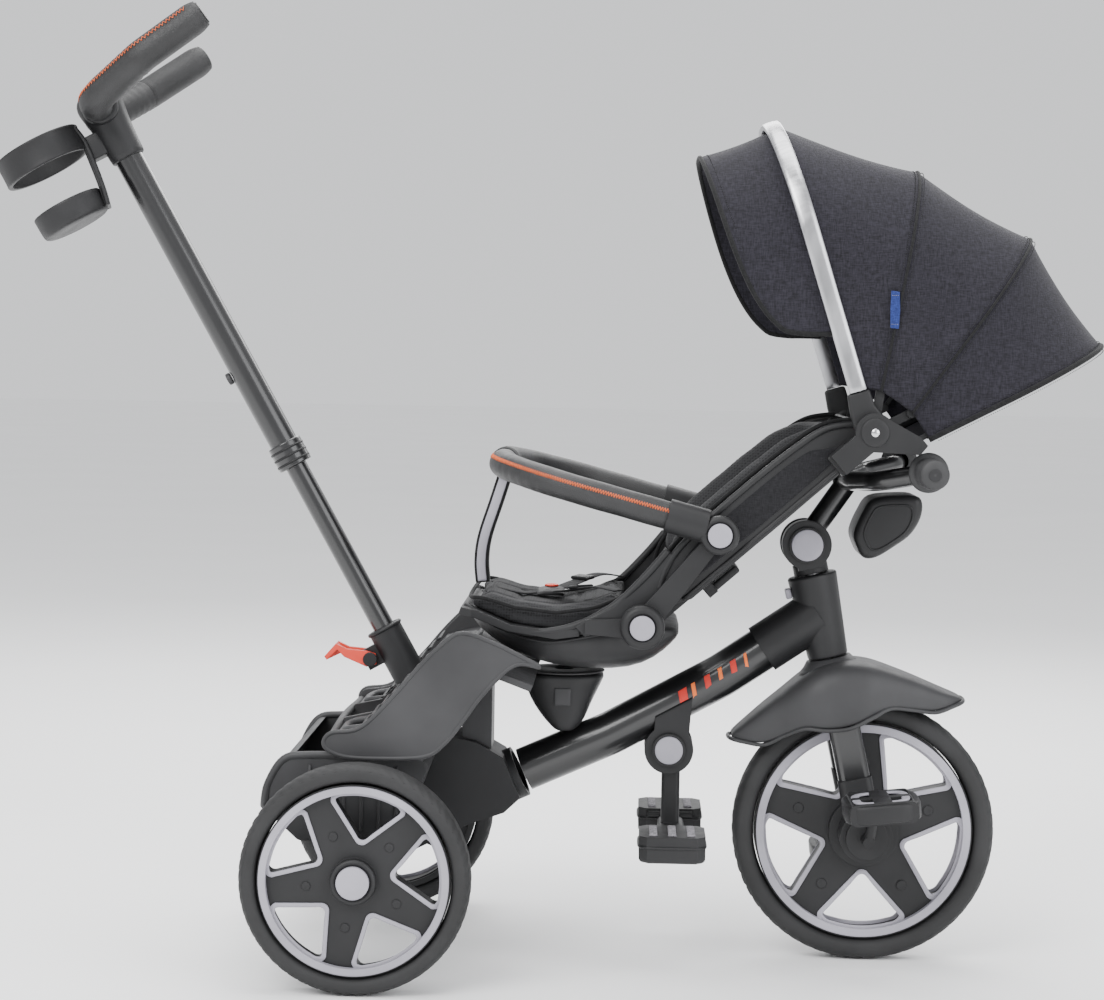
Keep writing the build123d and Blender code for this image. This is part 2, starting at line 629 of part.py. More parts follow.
def back_pad():
    # padding with raised sides, in the shell's hollow
    body = Pos(188, 0, 19) * Box(262, 2 * BACK_HALF - 14, 38)
    sides = [Pos(188, s * 118, 40) * Box(262, 24, 46) for s in (-1, 1)]
    pad = body + (Part() + sides)
    pad = fillet(pad.edges().filter_by(Axis.Y).group_by(Axis.Z)[-1], 16)
    return on(back_plane(), Pos(0, 0, -4.6) * pad)


def recline_lever():
    plate = Pos(96, 0, -30) * fillet(Box(44, 56, 9).edges(), 3)
    return on(back_plane(), plate - Pos(78, 0, -30) * Rot(90, 0, 0) * Cylinder(3.05, 80))


# ---- bumper bar ----
def bumper_bar():
    bx, bz = BUMPER
    reach = 236.0
    end = (bx - 34, bz + 14)
    points = [(end[0], -ARM_Y, end[1]), (end[0] - reach * 0.88, -ARM_Y, end[1] + 55)]
    points = points + [(points[1][0], ARM_Y, points[1][2]), (end[0], ARM_Y, end[1])]
    return tube_along(points, [105, 105], 15.5)


def bumper_bracket(side):
    bx, bz = BUMPER
    y0, y1 = side * 157.6, side * 172
    disc = ycyl(20.5, y0, y1, bx, bz)
    sleeve = rod((bx - 57, side * ARM_Y, bz + 20.2), (bx - 14, side * ARM_Y, bz + 8.7), 18.5)
    hollow = rod((bx - 60, side * ARM_Y, bz + 21), (bx - 33.5, side * ARM_Y, bz + 14), 15.7)
    made = disc + sleeve - hollow - ycyl(27, side * 120, side * 157.5, bx, bz)
    made = made - ycyl(5.9 + RUN, side * 100, side * 200, bx, bz)
    pin = ycyl(5.9, side * 149, side * 172.2, bx, bz) + ycyl(13.5, side * 172.2, side * 176.5, bx, bz)
    return group(made, pin)


def crotch_post():
    outline = [(136, 548), (150, 545), (146, 520), (133, 485), (128, 460), (130, 426), (116, 426), (113, 455), (120, 492)]
    body = side_slab(outline, -17, 17)
    bar = rod((143.4, -80, 566), (143.4, 80, 566), 15.9)
    return body - bar


# ---- canopy ----
def arch_plane(foot, crown):
    up = Vector(crown[0] - foot[0], 0, crown[1] - foot[1])
    return Plane(origin=(foot[0], 0, foot[1]), x_dir=(0, 1, 0), z_dir=Vector(0, 1, 0).cross(up))


def arch_height(foot, crown):
    return math.hypot(crown[0] - foot[0], crown[1] - foot[1])


def arch_face(foot, crown, half, inset=0.0, below=0.0, shoulder=None):
    # upright D in the arch's own plane: straight legs and a rounded crown
    h = arch_height(foot, crown) - inset
    w = half - inset
    r = (shoulder or min(half * 0.86, h * 0.7)) - inset
    points = [(-w, -below), (-w, h), (w, h), (w, -below)]
    top = FilletPolyline(*points, radius=r)
    return arch_plane(foot, crown) * make_face(top + Line(points[3], points[0]))


def shifted(foot, crown, by):
    # the same arch moved square to its plane, forward for a positive step
    dx, dz = crown[0] - foot[0], crown[1] - foot[1]
    length = math.hypot(dx, dz)
    nx, nz = dz / length * by, -dx / length * by
    return (foot[0] + nx, foot[1] + nz), (crown[0] + nx, crown[1] + nz)


def gore(a, b):
    # one cloth panel stretched between two arches
    outer = loft([arch_face(*a, CANOPY_HALF), arch_face(*b, CANOPY_HALF)], ruled=True)
    a2, b2 = stretch(a, b)
    inner = loft([arch_face(*a2, CANOPY_HALF, CLOTH, 60), arch_face(*b2, CANOPY_HALF, CLOTH, 60)], ruled=True)
    return outer - inner


def stretch(a, b):
    # both arches pushed a little apart, so the hollow breaks through the panel's edges
    k = 0.01
    fa = tuple(p + (p - q) * k for p, q in zip(a[0], b[0]))
    ca = tuple(p + (p - q) * k for p, q in zip(a[1], b[1]))
    fb = tuple(q + (q - p) * k for p, q in zip(a[0], b[0]))
    cb = tuple(q + (q - p) * k for p, q in zip(a[1], b[1]))
    return (fa, ca), (fb, cb)


def arch_band(foot, crown, inset, thick, width, below=0.0):
    # a flat hoop that follows an arch, inset mm inside the cloth's outer face
    outer = extrude(arch_face(foot, crown, CANOPY_HALF, inset, below), amount=width / 2, both=True)
    inner = extrude(arch_face(foot, crown, CANOPY_HALF, inset + thick, below + 5), amount=width, both=True)
    return outer - inner


def canopy_bow():
    return arch_band(BOW_FOOT, BOW_CROWN, -6, 9, 20)


def bow_socket(side):
    # disc at the hinge with an elbow up to the foot of the bow
    y0, y1 = side * 154.6, side * 164.6
    disc = ycyl(20, y0, y1, *HINGE)
    elbow = side_slab([(531, 601), (563, 625), (548, 640), (541.5, 658), (520.5, 651.5), (524, 630)], y0, y1)
    room = extrude(arch_plane(BOW_FOOT, BOW_CROWN) * Pos(0, 200) * Rectangle(400, 400), amount=10.05, both=True)
    return (disc + elbow) - room - ycyl(5.0 + RUN, side * 100, side * 200, *HINGE)


def rib(foot, crown, y_in):
    band = arch_band(foot, crown, CLOTH + 3, 4, 5, 2)
    made = band
    for side in (-1, 1):
        y0, y1 = side * y_in, side * (y_in + 3.6)
        disc = ycyl(11, y0, y1, *HINGE)
        dx, dz = foot[0] - HINGE[0], foot[1] - HINGE[1]
        length = math.hypot(dx, dz)
        nx, nz = -dz / length * 5, dx / length * 5
        line = [(HINGE[0] + nx, HINGE[1] + nz), (foot[0] + nx, foot[1] + nz)]
        line = line + [(foot[0] - nx, foot[1] - nz), (HINGE[0] - nx, HINGE[1] - nz)]
        link = side_slab(line, y0, y1)
        foot_block = ycyl(5, side * y_in, side * (CANOPY_HALF - CLOTH - 3.2), *foot)
        made = made + disc + link + foot_block
    return made - ycyl(5.0 + RUN, -200, 200, *HINGE)


def canopy_bracket(side):
    # hinge plate fixed to the top of the backrest, with a second arm to the rear bow
    y0, y1 = side * 165.2, side * 176
    disc = ycyl(21, y0, y1, *HINGE)
    arm = side_slab([(549, 590), (598, 588), (606, 598), (598, 607), (552, 632)], y0, y1)
    pad = ycyl(6, side * (CANOPY_HALF - CLOTH - 2.9), side * 166, 594, 602)
    lower = on(back_plane(), Pos(300, side * 170.6, -2) * Box(50, 10.8, 26))
    foot = on(back_plane(), Pos(283, side * 151.6, -2) * Box(24, 27, 26))
    made = disc + arm + pad + lower + foot
    return made - ycyl(5.0, side * 100, side * 200, *HINGE)


def canopy_hinge_pin(side):
    return ycyl(5.0, side * 140, side * 177, *HINGE)


def canopy_brackets():
    rear_bow = arch_band(*shifted(REAR_FOOT, REAR_CROWN, -5), CLOTH + 3, 4, 6, 14)
    return group(canopy_bracket(-1), canopy_bracket(1), rear_bow)


def canopy_visor():
    start = shifted(BOW_FOOT, BOW_CROWN, -11)
    sheet = gore(start, (VISOR_FOOT, VISOR_CROWN))
    below = side_slab([(340, 600), (340, 893), (362, 893), (381, 844), (412, 772), (437, 737), (460, 716), (560, 712), (560, 600)], -300, 300)
    return sheet - below


def canopy_panel(index):
    gap = 0.4
    arches = [
        shifted(BOW_FOOT, BOW_CROWN, 11),
        (RIB1_FOOT, RIB1_CROWN),
        (RIB2_FOOT, RIB2_CROWN),
        (REAR_FOOT, REAR_CROWN),
    ]
    a, b = arches[index], arches[index + 1]
    if index:
        a = shifted(a[0], a[1], gap)
    cloth = gore(a, b)
    if index == 2:
        cloth = cloth + extrude(arch_face(*b, CANOPY_HALF), amount=CLOTH)
    return cloth


def rear_wheel_nodes():
    made = {}
    for name, side in (("left", 1), ("right", -1)):
        wheel = rear_wheel(side)
        made["rear_tyre_" + name] = wheel["tyre"]
        made["rear_rim_" + name] = wheel["rim"]
        made["rear_trim_" + name] = group(wheel["trim"], wheel["cap"])
    return made


def handed_nodes():
    made = {}
    for name, side in (("left", 1), ("right", -1)):
        made["pedal_" + name] = pedal(side)
        made["foot_pad_" + name] = foot_pad(side)
    return made


def frame_nodes():
    return {
        "main_tube": main_tube(),
        "head_shell": head_shell(),
        "head_tube": head_tube(),
        "rear_yoke": rear_yoke(),
        "rear_axle": rear_axle(),
        "handle_socket": handle_socket(),
        "foot_platform": foot_platform(),
        "storage_basket": basket(),
        "seat_pedestal": seat_pedestal(),
        "footrest_bracket": footrest_bracket(),
        "footrest_stem": footrest_stem(),
        "steering_lock_button": lock_button(),
        "quick_release_lever": quick_release(),
    }


def front_nodes():
    return {
        "fork_crown": fork_crown(),
        "fork_legs": both(fork_leg),
        "fork_ends": both(fork_end),
        "front_fender": fender(),
        "stem_clamp": stem_clamp(),
        "handlebar": handlebar(),
        "handlebar_grips": pair(grip()),
        "handlebar_pod": pod(),
        "crankset": crank(),
        **front_wheel(),
    }


def handle_nodes():
    return {
        "handle_lower_tube": lower_tube(),
        "handle_upper_tube": group(upper_tube(), collar()),
        "handle_yoke": handle_yoke(),
        "push_grips": both(handle_grip),
        "cup_holder": cup_holder(),
        "height_button": height_button(),
    }


def seat_nodes():
    return {
        "seat_base": seat_base(),
        "seat_pan": seat_pan(),
        "seat_cushion": seat_cushion(),
        "seat_side_arms": both(side_arm),
        "back_shell": back_shell(),
        "back_pad": back_pad(),
        "recline_lever": recline_lever(),
        "bumper_bar": bumper_bar(),
        "bumper_brackets": both(bumper_bracket),
        "crotch_post": crotch_post(),
    }


def canopy_nodes():
    return {
        "canopy_brackets": canopy_brackets(),
        "canopy_hinge_pins": both(canopy_hinge_pin),
        "canopy_bow": group(canopy_bow(), both(bow_socket)),
        "canopy_rib_front": rib(RIB1_FOOT, RIB1_CROWN, 148.5),
        "canopy_rib_rear": rib(RIB2_FOOT, RIB2_CROWN, 142.5),
        "canopy_visor": canopy_visor(),
        "canopy_panel_front": canopy_panel(0),
        "canopy_panel_middle": canopy_panel(1),
        "canopy_panel_rear": canopy_panel(2),
    }


def main():
    os.makedirs("parts", exist_ok=True)
    shapes = {**frame_nodes(), **front_nodes(), **rear_wheel_nodes(), **handed_nodes()}
    shapes = {**shapes, **handle_nodes(), **seat_nodes(), **canopy_nodes()}
    for name, shape in shapes.items():
        export_step(shape.moved(Location((-ORIGIN_X, 0, 0))), f"parts/{name}.step")
        print(name, len(shape.solids()), round(shape.volume / 1000, 1))
    print(len(shapes), "nodes")


main()
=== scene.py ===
import json
import math

import bmesh
import bpy
from mathutils import Matrix, Vector
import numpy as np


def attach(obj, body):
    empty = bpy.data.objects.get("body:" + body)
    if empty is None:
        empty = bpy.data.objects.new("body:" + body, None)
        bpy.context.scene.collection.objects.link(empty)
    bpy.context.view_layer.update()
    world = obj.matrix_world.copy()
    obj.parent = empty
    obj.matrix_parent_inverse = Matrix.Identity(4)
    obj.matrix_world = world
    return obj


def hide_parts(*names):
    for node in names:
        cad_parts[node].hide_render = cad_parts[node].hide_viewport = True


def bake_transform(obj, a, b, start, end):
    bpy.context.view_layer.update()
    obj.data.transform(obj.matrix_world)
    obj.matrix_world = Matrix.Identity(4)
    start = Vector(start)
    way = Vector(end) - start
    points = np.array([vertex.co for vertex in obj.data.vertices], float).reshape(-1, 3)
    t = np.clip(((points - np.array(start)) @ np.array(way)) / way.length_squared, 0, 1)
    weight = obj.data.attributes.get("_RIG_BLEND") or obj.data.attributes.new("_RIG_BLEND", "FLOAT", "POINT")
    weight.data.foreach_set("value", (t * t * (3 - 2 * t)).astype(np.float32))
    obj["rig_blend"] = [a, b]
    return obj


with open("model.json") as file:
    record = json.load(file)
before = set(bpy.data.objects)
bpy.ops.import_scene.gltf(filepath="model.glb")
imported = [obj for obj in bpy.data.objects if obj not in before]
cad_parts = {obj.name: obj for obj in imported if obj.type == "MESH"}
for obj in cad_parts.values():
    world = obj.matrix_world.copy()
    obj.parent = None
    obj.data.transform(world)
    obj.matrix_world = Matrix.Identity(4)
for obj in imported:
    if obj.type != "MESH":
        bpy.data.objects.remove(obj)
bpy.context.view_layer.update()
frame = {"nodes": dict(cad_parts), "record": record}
RECORD = frame["record"]
JOINTS = {j["name"]: j for j in RECORD["behaviour"]["joints"]}
MM = 0.001

# ---- places: chassis millimetres, x from the rear axle, turned into the row frame ----
REAR_AXLE = Vector(JOINTS["rear_wheel_left_spin"]["pos_m"])
FRONT_AXLE = Vector(JOINTS["front_wheel_spin"]["pos_m"])
HINGE = Vector(JOINTS["canopy_fold_rear"]["pos_m"])
RECLINE = Vector(JOINTS["backrest_recline"]["pos_m"])
BUMPER = Vector(JOINTS["bumper_bar_open"]["pos_m"])
FOOTREST = Vector(JOINTS["footrest_fold"]["pos_m"])
HEAD_UP = Vector(JOINTS["steering"]["axis"])
HANDLE_UP = Vector(JOINTS["handle_height"]["axis"])
BACK_ANGLE = math.radians(41.3)
HANDLE_TWIST = math.radians(10)


def at(x, y, z):
    return Vector((REAR_AXLE.x + x * MM, y * MM, z * MM))


def in_plane(origin, along, across, out):
    """A function from local millimetres to the row frame."""
    return lambda u, v, w: origin + (along * u + across * v + out * w) * MM


Y = Vector((0, 1, 0))
Z = Vector((0, 0, 1))
SIDES = ((-1, "right"), (1, "left"))
BACK_X = Vector((math.cos(BACK_ANGLE), 0, math.sin(BACK_ANGLE)))
BACK_Z = Vector((-math.sin(BACK_ANGLE), 0, math.cos(BACK_ANGLE)))
back = in_plane(RECLINE, BACK_X, Y, BACK_Z)
HANDLE_X = Vector((HANDLE_UP.z, 0, -HANDLE_UP.x))
HANDLE_FOOT = at(8, 0, 368)
TWIST_X = HANDLE_X * math.cos(HANDLE_TWIST) + Y * math.sin(HANDLE_TWIST)
TWIST_Y = HANDLE_UP.cross(TWIST_X)
handle = in_plane(HANDLE_FOOT, TWIST_X, TWIST_Y, HANDLE_UP)
HEAD_X = Vector((HEAD_UP.z, 0, -HEAD_UP.x))
head = in_plane(FRONT_AXLE, HEAD_X, Y, HEAD_UP)


# ---- camera: the view fitted to the three wheels ----
def make_camera():
    yaw, pitch, roll = (math.radians(a) for a in (1.697, 3.277, 0.980))
    view = Vector((-math.sin(yaw) * math.cos(pitch), math.cos(yaw) * math.cos(pitch), -math.sin(pitch)))
    right = Vector((math.cos(yaw), math.sin(yaw), 0))
    up = right.cross(view)
    x = right * math.cos(roll) + up * math.sin(roll)
    y = up * math.cos(roll) - right * math.sin(roll)
    data = bpy.data.cameras.new("camera")
    data.lens = 82.64
    data.sensor_width = 36
    camera = bpy.data.objects.new("camera", data)
    bpy.context.scene.collection.objects.link(camera)
    turn = Matrix((x, y, -view)).transposed().to_4x4()
    camera.matrix_world = Matrix.Translation((0.09775, -2.90665, 0.68875)) @ turn
    bpy.context.scene.camera = camera


make_camera()


# ---- materials ----
def nodes_of(name):
    mat = bpy.data.materials.new(name)
    mat.use_nodes = True
    tree = mat.node_tree
    shader = tree.nodes["Principled BSDF"]
    place = tree.nodes.new("ShaderNodeTexCoord")
    return mat, tree, shader, place.outputs["Object"]


def add(tree, kind, **values):
    made = tree.nodes.new(kind)
    for key, value in values.items():
        if hasattr(made, key):
            setattr(made, key, value)
        else:
            made.inputs[key].default_value = value
    return made


def noise(tree, place, scale, detail=3.0, stretch=(1, 1, 1), turn=(0, 0, 0)):
    mapping = add(tree, "ShaderNodeMapping")
    mapping.inputs["Scale"].default_value = stretch
    mapping.inputs["Rotation"].default_value = turn
    tree.links.new(place, mapping.inputs["Vector"])
    made = add(tree, "ShaderNodeTexNoise", Scale=scale, Detail=detail)
    tree.links.new(mapping.outputs["Vector"], made.inputs["Vector"])
    return made.outputs["Fac"]


def colour_by(tree, shader, value, low, high, start=0.35, end=0.65):
    """Base colour that runs from low to high as the value does."""
    made = add(tree, "ShaderNodeValToRGB")
    made.color_ramp.elements[0].position = start
    made.color_ramp.elements[1].position = end
    made.color_ramp.elements[0].color = (*low, 1)
    made.color_ramp.elements[1].color = (*high, 1)
    tree.links.new(value, made.inputs["Fac"])
    tree.links.new(made.outputs["Color"], shader.inputs["Base Color"])


def scaled(colour, k):
    return tuple(min(1.0, c * k) for c in colour)


def rough_by(tree, shader, value, low, high):
    made = add(tree, "ShaderNodeMapRange")
    made.inputs["To Min"].default_value = low
    made.inputs["To Max"].default_value = high
    tree.links.new(value, made.inputs["Value"])
    tree.links.new(made.outputs["Result"], shader.inputs["Roughness"])


def combine(tree, a, b, operation="ADD"):
    made = add(tree, "ShaderNodeMath", operation=operation)
    tree.links.new(a, made.inputs[0])
    if isinstance(b, float):
        made.inputs[1].default_value = b
    else:
        tree.links.new(b, made.inputs[1])
    return made.outputs[0]


def bump(tree, shader, height, strength, depth, edge=0.0):
    made = add(tree, "ShaderNodeBump", Strength=strength, Distance=depth)
    if edge:
        round_edge = add(tree, "ShaderNodeBevel", samples=4, Radius=edge)
        tree.links.new(round_edge.outputs["Normal"], made.inputs["Normal"])
    tree.links.new(height, made.inputs["Height"])
    tree.links.new(made.outputs["Normal"], shader.inputs["Normal"])


def plastic(name, colour, rough=0.5, grain=0.25, wear=1.35):
    """Moulded plastic: fine spark-eroded grain, faint scuffs, and rubbed lighter patches."""
    mat, tree, shader, place = nodes_of(name)
    patches = noise(tree, place, 9, 5)
    colour_by(tree, shader, patches, scaled(colour, 0.85), scaled(colour, wear))
    scuffs = noise(tree, place, 60, 6, (1, 1, 0.25))
    rough_by(tree, shader, scuffs, rough - 0.1, rough + 0.14)
    shader.inputs["Specular IOR Level"].default_value = 0.32
    bump(tree, shader, noise(tree, place, 1500, 2), grain, 0.0004, 0.0016)
    return mat


def paint(name, colour):
    """Gloss coat over steel tube, with orange peel and light handling marks."""
    mat, tree, shader, place = nodes_of(name)
    colour_by(tree, shader, noise(tree, place, 14, 4), colour, scaled(colour, 1.14))
    rough_by(tree, shader, noise(tree, place, 90, 5), 0.27, 0.33)
    shader.inputs["Coat Weight"].default_value = 0.5
    shader.inputs["Coat Roughness"].default_value = 0.14
    bump(tree, shader, noise(tree, place, 260, 2), 0.03, 0.0003)
    return mat


def metal(name, colour, rough, stretch):
    """Brushed metal, its scratches along one direction."""
    mat, tree, shader, place = nodes_of(name)
    brush = noise(tree, place, 400, 4, stretch)
    colour_by(tree, shader, brush, scaled(colour, 0.82), scaled(colour, 1.12))
    shader.inputs["Metallic"].default_value = 1.0
    rough_by(tree, shader, brush, rough - 0.08, rough + 0.1)
    bump(tree, shader, brush, 0.08, 0.0002)
    return mat


def rubber(name, colour, rough=0.72):
    """Tyre rubber: dusty, with a dry bloom and fine pores."""
    mat, tree, shader, place = nodes_of(name)
    dust = noise(tree, place, 22, 7)
    colour_by(tree, shader, dust, scaled(colour, 0.8), scaled(colour, 1.7), 0.4, 0.8)
    rough_by(tree, shader, dust, rough - 0.1, rough + 0.12)
    bump(tree, shader, noise(tree, place, 900, 3), 0.3, 0.0005)
    return mat


def weave(name, colour, pitch, fleck=1.7, lines=(0, 0, 0), depth=0.0006):
    """Cloth woven from two thread directions, with lighter flecks of melange yarn."""
    mat, tree, shader, place = nodes_of(name)
    across = noise(tree, place, pitch, 2, (1, 0.16, 0.16), lines)
    down = noise(tree, place, pitch, 2, (0.16, 0.16, 1), lines)
    over = combine(tree, across, down)
    yarn = combine(tree, over, 0.5, "MULTIPLY")
    colour_by(tree, shader, yarn, scaled(colour, 0.55), scaled(colour, fleck), 0.38, 0.64)
    shader.inputs["Roughness"].default_value = 0.92
    shader.inputs["Sheen Weight"].default_value = 0.05
    shader.inputs["Specular IOR Level"].default_value = 0.25
    shader.inputs["Sheen Roughness"].default_value = 0.5
    folds = combine(tree, noise(tree, place, 14, 3), 1.2, "MULTIPLY")
    bump(tree, shader, combine(tree, over, folds), 0.55, depth)
    return mat


def mesh_cloth(name, colour, pitch=330):
    """Air-mesh seat cloth: a net of small round holes over a darker backing."""
    mat, tree, shader, place = nodes_of(name)
    holes = add(tree, "ShaderNodeTexVoronoi", Scale=float(pitch))
    holes.inputs["Randomness"].default_value = 0.25
    tree.links.new(place, holes.inputs["Vector"])
    distance = holes.outputs["Distance"]
    colour_by(tree, shader, distance, scaled(colour, 0.35), scaled(colour, 1.6), 0.15, 0.55)
    shader.inputs["Roughness"].default_value = 0.88
    shader.inputs["Sheen Weight"].default_value = 0.04
    shader.inputs["Specular IOR Level"].default_value = 0.3
    bump(tree, shader, distance, 0.6, 0.0008)
    return mat


def leather(name, colour):
    """Leatherette: pebbled grain with soft creases and a low shine."""
    mat, tree, shader, place = nodes_of(name)
    pebbles = add(tree, "ShaderNodeTexVoronoi", Scale=520.0, feature="DISTANCE_TO_EDGE")
    tree.links.new(place, pebbles.inputs["Vector"])
    grain = pebbles.outputs["Distance"]
    colour_by(tree, shader, noise(tree, place, 30, 4), scaled(colour, 0.8), scaled(colour, 1.5))
    rough_by(tree, shader, noise(tree, place, 120, 3), 0.38, 0.6)
    creases = noise(tree, place, 60, 4, (1, 0.4, 1))
    bump(tree, shader, combine(tree, combine(tree, grain, 1.4, "MULTIPLY"), creases), 0.5, 0.0008)
    return mat


LOOKS = [
    (plastic, "shell_black", (0.0125, 0.0125, 0.0132), 0.46),
    (plastic, "shell_grey", (0.034, 0.034, 0.0355), 0.48),
    (plastic, "trim_grey", (0.32, 0.31, 0.35), 0.42, 0.1, 1.12),
    (plastic, "red_plastic", (0.72, 0.06, 0.035), 0.35, 0.1, 1.15),
    (paint, "painted_tube", (0.006, 0.006, 0.0065)),
    (metal, "steel", (0.5, 0.5, 0.51), 0.3, (1, 1, 0.05)),
    (metal, "bow_metal", (0.5, 0.5, 0.515), 0.3, (0.1, 1, 0.04)),
    (rubber, "tyre_rubber", (0.014, 0.014, 0.0145)),
    (rubber, "grip_rubber", (0.022, 0.022, 0.023), 0.6),
    (leather, "leatherette", (0.011, 0.011, 0.0115)),
    (mesh_cloth, "seat_fabric", (0.014, 0.014, 0.015)),
    (weave, "canopy_fabric", (0.0145, 0.0135, 0.0185), 900, 1.6),
    (weave, "lining", (0.012, 0.0118, 0.0135), 900, 1.4),
    (weave, "binding", (0.009, 0.009, 0.0095), 1300, 1.5),
    (weave, "webbing", (0.02, 0.02, 0.021), 1600, 1.6),
    (weave, "strap_grey", (0.26, 0.25, 0.27), 1500, 1.3),
    (weave, "thread_orange", (0.62, 0.13, 0.045), 2400, 1.3),
    (weave, "thread_black", (0.012, 0.012, 0.013), 2400, 1.6),
    (weave, "tag_blue", (0.02, 0.035, 0.15), 1800, 1.4),
    (metal, "chrome", (0.62, 0.62, 0.64), 0.16, (1, 1, 1)),
    (plastic, "decal_orange", (0.85, 0.17, 0.03), 0.4, 0.05, 1.1),
    (plastic, "decal_red", (0.55, 0.03, 0.02), 0.4, 0.05, 1.1),
]
MAT = {name: build(name, *look) for build, name, *look in LOOKS}

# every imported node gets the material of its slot
for part in RECORD["subparts"]:
    node = frame["nodes"][part["node"]]
    node.data.materials.clear()
    node.data.materials.append(MAT[part["material_slot"]])


# ---- mesh tools ----
def keep(obj, mat, body=None, smooth=True):
    """Puts the object in the scene with its material, and on the body it moves with."""
    if obj.name not in bpy.context.scene.collection.objects:
        bpy.context.scene.collection.objects.link(obj)
    if mat:
        obj.data.materials.clear()
        obj.data.materials.append(MAT[mat])
    for face in obj.data.polygons:
        face.use_smooth = smooth
    if body:
        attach(obj, body)
    return obj


def grid_faces(rows, n):
    """Quads between rows of n points."""
    return [
        (i * n + j, i * n + j + 1, (i + 1) * n + j + 1, (i + 1) * n + j)
        for i in range(rows)
        for j in range(n - 1)
    ]


def ring_faces(rings, n, closed=False, caps=True):
    """Quads between rings of n points, with flat ends unless the last ring meets the first."""
    faces = []
    for i in range(rings if closed else rings - 1):
        a, b = i * n, ((i + 1) % rings) * n
        faces += [(a + j, a + (j + 1) % n, b + (j + 1) % n, b + j) for j in range(n)]
    if caps and not closed:
        faces += [tuple(range(n)), tuple(range(rings * n - 1, (rings - 1) * n - 1, -1))]
    return faces


def prism_faces(n):
    """Two flat ends of n points and the walls between them."""
    walls = [(j, (j + 1) % n, n + (j + 1) % n, n + j) for j in range(n)]
    return [tuple(range(n)), tuple(range(2 * n - 1, n - 1, -1))] + walls


def mesh(name, verts, faces):
    data = bpy.data.meshes.new(name)
    data.from_pydata([tuple(v) for v in verts], [], faces)
    data.update()
    made = bmesh.new()
    made.from_mesh(data)
    bmesh.ops.recalc_face_normals(made, faces=made.faces)
    made.to_mesh(data)
    made.free()
    return bpy.data.objects.new(name, data)


def finished(obj):
    """Applies the modifiers, so the mesh is final."""
    if obj.name not in bpy.context.scene.collection.objects:
        bpy.context.scene.collection.objects.link(obj)
    bpy.context.view_layer.update()
    shape = obj.evaluated_get(bpy.context.evaluated_depsgraph_get())
    data = bpy.data.meshes.new_from_object(shape)
    obj.modifiers.clear()
    obj.data = data
    return obj


def soften(obj, width, segments=3, angle=32):
    made = obj.modifiers.new("edges", "BEVEL")
    made.width = width * MM
    made.segments = segments
    made.limit_method = "ANGLE"
    made.angle_limit = math.radians(angle)
    made.harden_normals = False
    return obj


def rounded(obj, levels=2):
    made = obj.modifiers.new("surface", "SUBSURF")
    made.levels = levels
    made.render_levels = levels
    return obj


def thick(obj, depth, offset=0.0):
    made = obj.modifiers.new("cloth", "SOLIDIFY")
    made.thickness = depth * MM
    made.offset = offset
    return obj


def smooth_path(points, steps=8, closed=False):
    """A Catmull-Rom curve through the points."""
    found = []
    count = len(points)
    for i in range(count if closed else count - 1):
        p0 = points[i - 1] if i or closed else points[0]
        p1, p2 = points[i], points[(i + 1) % count]
        p3 = points[(i + 2) % count] if closed or i + 2 < count else p2
        for k in range(steps):
            t = k / steps
            t2, t3 = t * t, t * t * t
            found.append(
                0.5 * ((2 * p1) + (p2 - p0) * t + (2 * p0 - 5 * p1 + 4 * p2 - p3) * t2
                + (3 * p1 - p0 - 3 * p2 + p3) * t3)
            )
    if not closed:
        found.append(points[-1].copy())
    return found


def frames(path, up):
    """For each point of a path: the point, the direction square to it nearest up, and the third one."""
    made = []
    last = len(path) - 1
    for i, p in enumerate(path):
        along = (path[min(i + 1, last)] - path[max(i - 1, 0)]).normalized()
        lift = up[i] if isinstance(up, list) else up
        side = along.cross(lift).normalized()
        made.append((p, side.cross(along).normalized(), side))
    return made


def swept(name, path, section, up=Z, size=None, closed=False, caps=True):
    """A section of (side, up) millimetres carried along a path; size scales it at each point."""
    verts = []
    places = frames(path, up)
    for i, (p, lift, side) in enumerate(places):
        k = size(i / max(1, len(path) - 1)) if size else 1.0
        verts += [p + (side * s + lift * h) * (k * MM) for s, h in section]
    return mesh(name, verts, ring_faces(len(path), len(section), closed, caps))


def circle(r, n=16, squash=1.0):
    return [(r * math.cos(math.tau * k / n), r * squash * math.sin(math.tau * k / n)) for k in range(n)]


def strap_section(width, depth):
    """A flat band with rounded edges."""
    w, d = width / 2, depth / 2
    return [(-w, -d * 0.5), (-w + d, -d), (w - d, -d), (w, -d * 0.5), (w, d * 0.5), (w - d, d),
        (-w + d, d), (-w, d * 0.5)]


def joined(name, objects):
    """One object from several."""
    base = bmesh.new()
    for obj in objects:
        base.from_mesh(obj.data)
    data = bpy.data.meshes.new(name)
    base.to_mesh(data)
    base.free()
    return bpy.data.objects.new(name, data)


def slab(name, outline, y0, y1):
    """A side-view outline of points with straight walls from y0 to y1, in millimetres."""
    verts = [at(x, y, z) for y in (y0, y1) for x, z in outline]
    return mesh(name, verts, prism_faces(len(outline)))


